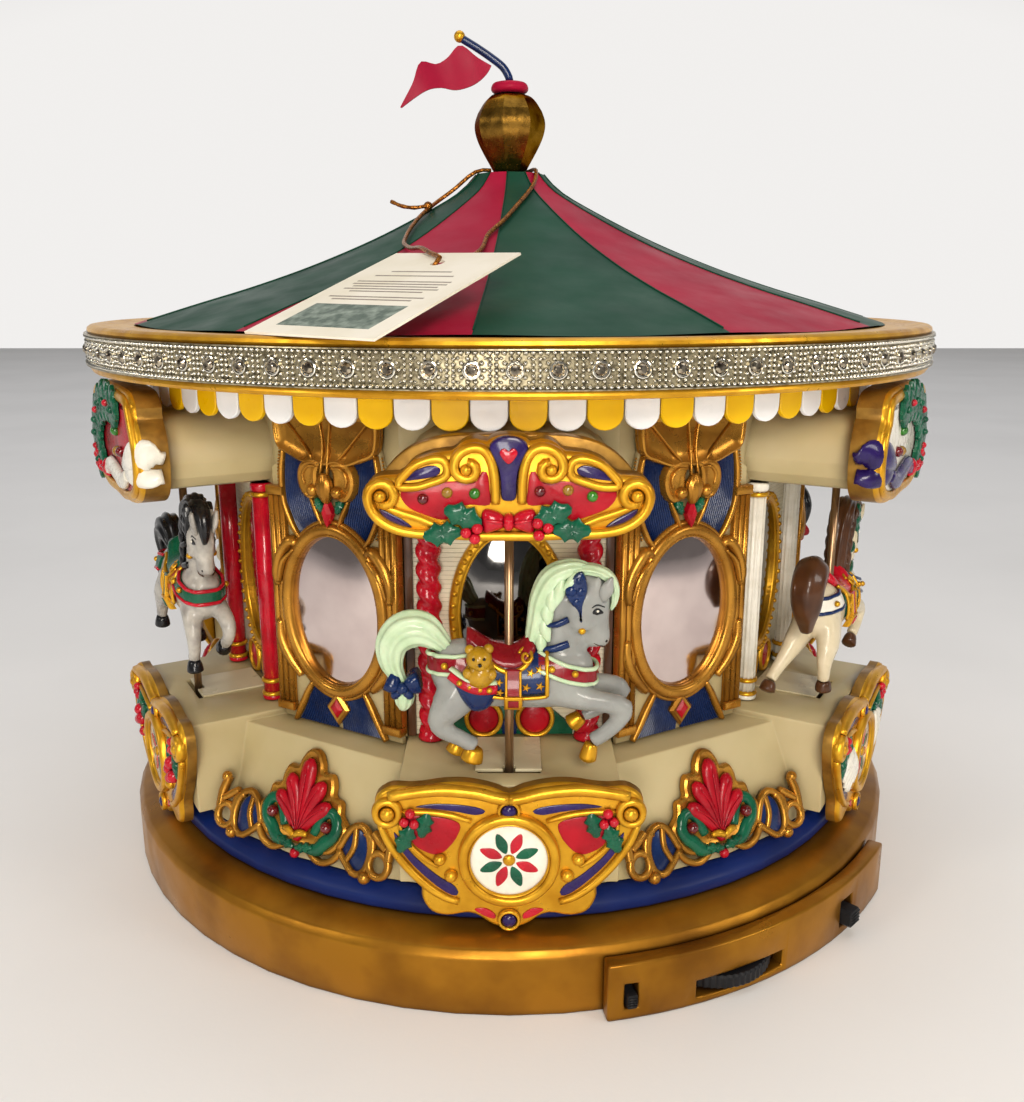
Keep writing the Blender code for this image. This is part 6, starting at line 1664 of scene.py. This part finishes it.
# The tag
@dataclass
class Tag:
    """A blank card with a punched hole, on a tinsel cord round the finial's foot."""

    middle: tuple[float, float, float] = (-30.1, -110.9, 187.4)
    width: float = 42.0
    length: float = 58.0
    thick: float = 0.6
    turn: float = 35.9
    tilt: float = 19.5
    roll: float = -0.9
    hole: float = 21.0
    hole_radius: float = 2.0
    cord_radius: float = 0.65
    bend: float = 2.7
    dip: float = 1.5
    foot: float = 6.75
    foot_height: float = 227.0

    def axes(self) -> Array:
        """The card's own directions: across it, up along it, and out of its face."""
        turn, tilt, roll = (math.radians(a) for a in (self.turn, self.tilt, self.roll))
        long = np.array([math.cos(tilt) * math.sin(turn), math.cos(tilt) * math.cos(turn), math.sin(tilt)])
        level = np.array([math.cos(turn), -math.sin(turn), 0.0])
        wide = level * math.cos(roll) + np.cross(level, long) * math.sin(roll)
        return np.stack([wide, long, np.cross(wide, long)])

    def place(self, points: Array) -> Array:
        """The card's own places in the carousel's frame."""
        return np.asarray(points, float) @ self.axes() + np.array(self.middle)

    def card(self) -> None:
        """The card as a ring of faces between its edge and its hole, with plain rules and a plain block."""
        w, h, t = self.width / 2, self.length / 2, self.thick / 2
        angle = np.linspace(0.0, 2 * math.pi, 32, endpoint=False)
        ray, middle = np.column_stack([np.cos(angle), np.sin(angle)]), np.array([0.0, self.hole])
        room = np.where(ray[:, 1] > 0, h - self.hole, h + self.hole)
        across, along = np.maximum(np.abs(ray), 1e-6).T
        reach = np.minimum(w / across, room / along)
        edge, hole = middle + ray * reach[:, None], middle + ray * self.hole_radius
        for corner in rect(-w, -h, w, h):
            away = np.arctan2(corner[1] - self.hole, corner[0]) % (2 * math.pi)
            edge[np.argmin(np.abs(angle - away))] = corner
        rings = ((hole, -t), (edge, -t), (edge, t), (hole, t))
        sheet = np.stack([np.column_stack([flat, np.full(32, z)]) for flat, z in rings])
        piece = Piece("card_tag").add(CARD, skin(sheet, loop=True))
        rules = ((14, 10), (10.8, 13), (6.6, 15.5), (4.8, 15.5), (3, 14), (1.2, 15.5), (-0.6, 12),
            (-4.4, 15.5), (-6.2, 13))
        ink = [(0, t - 0.1), (0, t + 0.03)]
        piece.add(CARD_RULE, *(relief(rect(-half, y - 0.35, half, y + 0.35), ink) for y, half in rules))
        piece.add(CARD_BLOCK, relief(rect(-15, -24, 15, -9.6), ink))
        piece.placed("card_tag", self.place, "hang_tag").make()

    def route(self) -> Array:
        """The cord's knots: down the left of the tent, through the hole, and up again to behind the foot."""
        def ring(azimuth: Sequence[float]) -> Array:
            a = np.radians(np.asarray(azimuth, float))
            return np.column_stack([self.foot * np.sin(a), -self.foot * np.cos(a),
                np.full(len(a), self.foot_height)])

        left = [(-9.6, -3.4, 226.9), (-13, -4.8, 225.4), (-18.6, -6.6, 220.6), (-24.3, -8.6, 216.4),
            (-28.4, -19.7, 211.8), (-30.9, -30.6, 207.4), (-31.9, -41.3, 203.6), (-31.4, -52, 201.2),
            (-28.4, -63.5, 199.5)]
        step = np.arange(5)
        angle = np.radians(90.0 - 45.0 * step)
        loop = np.column_stack([-0.8 - 0.2 * step, self.hole + self.bend * (0.84 - np.cos(angle)),
            self.bend * np.sin(angle) - self.dip])
        card = np.concatenate([[(-13, 30.5, 1.2), (-5.4, 25.6, 1.25)], loop,
            [(-3.2, 28.5, -4.4), (-6.4, 38, -5.4)]])
        right = [(-8.2, -61.9, 199.2), (-6.6, -51.2, 203.6), (-4.2, -45.9, 206.2), (-1.2, -39.7, 209.2),
            (3.3, -28.3, 214.9), (6.2, -21, 218.6), (8.2, -15.2, 222.2), (8.8, -10.4, 225.8),
            (8.2, -4.6, 227)]
        return np.concatenate([ring([-72.0]), left, self.place(card), right,
            ring([95.0, 130.0, 165.0, 200.0, 228.0])])

    def cord(self) -> None:
        """The cord as a curve of even steps, and its knot as a separate piece."""
        path = curve(self.route(), 86)
        flex = bpy.data.curves.new("tinsel_cord", "CURVE")
        flex.dimensions, flex.use_fill_caps = "3D", True
        flex.bevel_depth, flex.bevel_resolution = self.cord_radius * MM, 3
        spline = flex.splines.new("POLY")
        spline.points.add(len(path) - 1)
        spline.points.foreach_set("co", np.column_stack([path * MM, np.ones(len(path))]).ravel())
        flex.materials.append(TINSEL.material())
        made = stand("tinsel_cord", flex)
        tie = [(-27.6, -14.6, 214.6, 0.6, 0.6), (-31.4, -15.6, 214, 0.6, 0.6), (-35.6, -14, 214.6, 0.7, 0.6),
            (-39.4, -12.6, 216.2, 0.6, 0.6)]
        knot = Piece("cord_knot").add(TINSEL, tube(tie, 20, 12, ridges=4, depth=0.15, twist=20.0),
            ball(-27, -14.2, 1.5, 214.6, 1, 8, 14)).make()
        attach(made, "carousel")
        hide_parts("tag_cord")

    def build(self) -> None:
        """Make the card and its cord."""
        self.card()
        self.cord()


# The studio
@dataclass
class Studio:
    """The photograph's camera, a plain pale floor and soft lights."""

    frame_width: int = 1024
    focal_pixels: float = 1028.29
    sensor: float = 36.0
    frame_height: int = 1102
    place: tuple[float, float, float] = (0.00077, -0.37209, 0.18838)
    pitch: float = 0.2505
    floor_half: float = 3.0
    turned: tuple[float, float, float] = (0.0, 1.0, -1.0)
    dim_to: float = -0.1
    bright_from: float = 0.7
    dim_power: float = 0.17
    bright_power: float = 0.95

    def camera(self) -> None:
        """Stand the camera where the photograph was taken."""
        data = bpy.data.cameras.new("camera")
        data.sensor_width, data.sensor_fit, data.clip_start = self.sensor, "AUTO", 0.01
        data.lens = self.focal_pixels * self.sensor / max(self.frame_width, self.frame_height)
        made = stand("camera", data)
        made.location = self.place
        made.rotation_euler = (math.pi / 2 - self.pitch, 0.0, 0.0)
        bpy.context.scene.camera = made

    def floor(self) -> None:
        """A flat sheet just under the carousel."""
        h = self.floor_half
        mesh = bpy.data.meshes.new("floor")
        mesh.from_pydata([(x, y, 0.0) for x, y in rect(-h, -h, h, h)], [], [(0, 1, 2, 3)])
        mesh.materials.append(Finish("pale_paper", "f4f3f1", "efeeec", roughness=0.8, patch=200.0).material())
        stand("floor", mesh)

    def light(self, name: str, place: tuple[float, float, float], aim: tuple[float, float, float],
            size: float, power: float, colour: str) -> None:
        """A soft square lamp aimed at a point."""
        data = bpy.data.lights.new(name, "AREA")
        data.size, data.energy, data.color = size, power, linear(colour)[:3]
        made = stand(name, data)
        made.location = place
        made.rotation_euler = (Vector(aim) - Vector(place)).to_track_quat("-Z", "Y").to_euler()

    def sky(self) -> None:
        """Bright behind the carousel and dim behind the camera, as before a lit white sheet."""
        world = bpy.data.worlds.new("studio")
        world.use_nodes = True
        tree = world.node_tree
        tree.nodes.clear()
        way = node(tree, "ShaderNodeTexCoord", {}, "Generated")
        back = node(tree, "ShaderNodeVectorMath", {0: way, 1: self.turned}, "Value", operation="DOT_PRODUCT")
        power = node(tree, "ShaderNodeMapRange", {"Value": back, "From Min": self.dim_to,
            "From Max": self.bright_from, "To Min": self.dim_power, "To Max": self.bright_power})
        sky = node(tree, "ShaderNodeBackground", {"Color": linear("f7f5f3"), "Strength": power})
        node(tree, "ShaderNodeOutputWorld", {"Surface": sky})
        bpy.context.scene.world = world

    def build(self) -> None:
        """Set up the camera, the floor, the sky and the lamps."""
        self.camera()
        self.floor()
        self.sky()
        self.light("key_lamp", (0.12, -0.95, 0.56), (0, 0, 0.1), 0.26, 5, "fff6ea")
        self.light("low_lamp", (-0.1, -1, 0.24), (0, 0, 0.1), 0.22, 3, "fffaf2")
        self.light("left_lamp", (-0.85, -0.6, 0.6), (0, 0, 0.1), 0.24, 1.6, "fffaf2")
        self.light("right_lamp", (0.85, -0.5, 0.5), (0, 0, 0.1), 0.24, 1.6, "fffaf2")
        self.light("top_lamp", (0, 0.8, 2.6), (0, 0.8, 0), 3, 34, "fbfbff")
        bpy.context.scene.view_settings.view_transform = "Standard"


def main() -> None:
    """Build the carousel piece by piece."""
    logging.basicConfig(level=logging.INFO, format="%(message)s")
    for part in (Studio(), Tag(), Base(), Controls(), Canopy(), Finial()):
        part.build()
    columns = {Side.FRONT: Column.TWISTED, Side.RIGHT: Column.FLUTED, Side.LEFT: Column.PLAIN}
    lifts = (0.0, 2.0, 6.0, 9.0, 3.0, 8.5)
    headers = {side: HeaderPlate().piece(side) for side in Side}
    lowers = {side: LowerPlate().piece(side) for side in Side}
    bays = {side: Bay().piece(columns[side]) for side in Side}
    crest, corner = Crest(), CornerPanel().piece()
    ornament = crest.piece()
    for k, (side, stride) in enumerate(list(zip(Side, Stride)) * 2):
        number, azimuth = k + 1, k * ARM_STEP
        arm, between = on_arm(azimuth), azimuth + ARM_STEP / 2
        headers[side].placed(f"header_casting_{number}", arm, f"header_plate_{number}").make()
        lowers[side].placed(f"lower_casting_{number}", arm, f"lower_plate_{number}").make()
        bays[side].placed(f"bay_lining_{number}", arm, f"bay_wall_{number}").make()
        corner.placed(f"corner_mirror_{number}", on_arm(between), f"corner_panel_{number}").make()
        ornament.placed(f"crest_casting_{number}", crest.place(between), f"crest_{number}").make()
        Horse(number, COATS[k], stride, lifts[k]).build()
    bpy.context.view_layer.update()


if __name__ == "__main__":
    main()
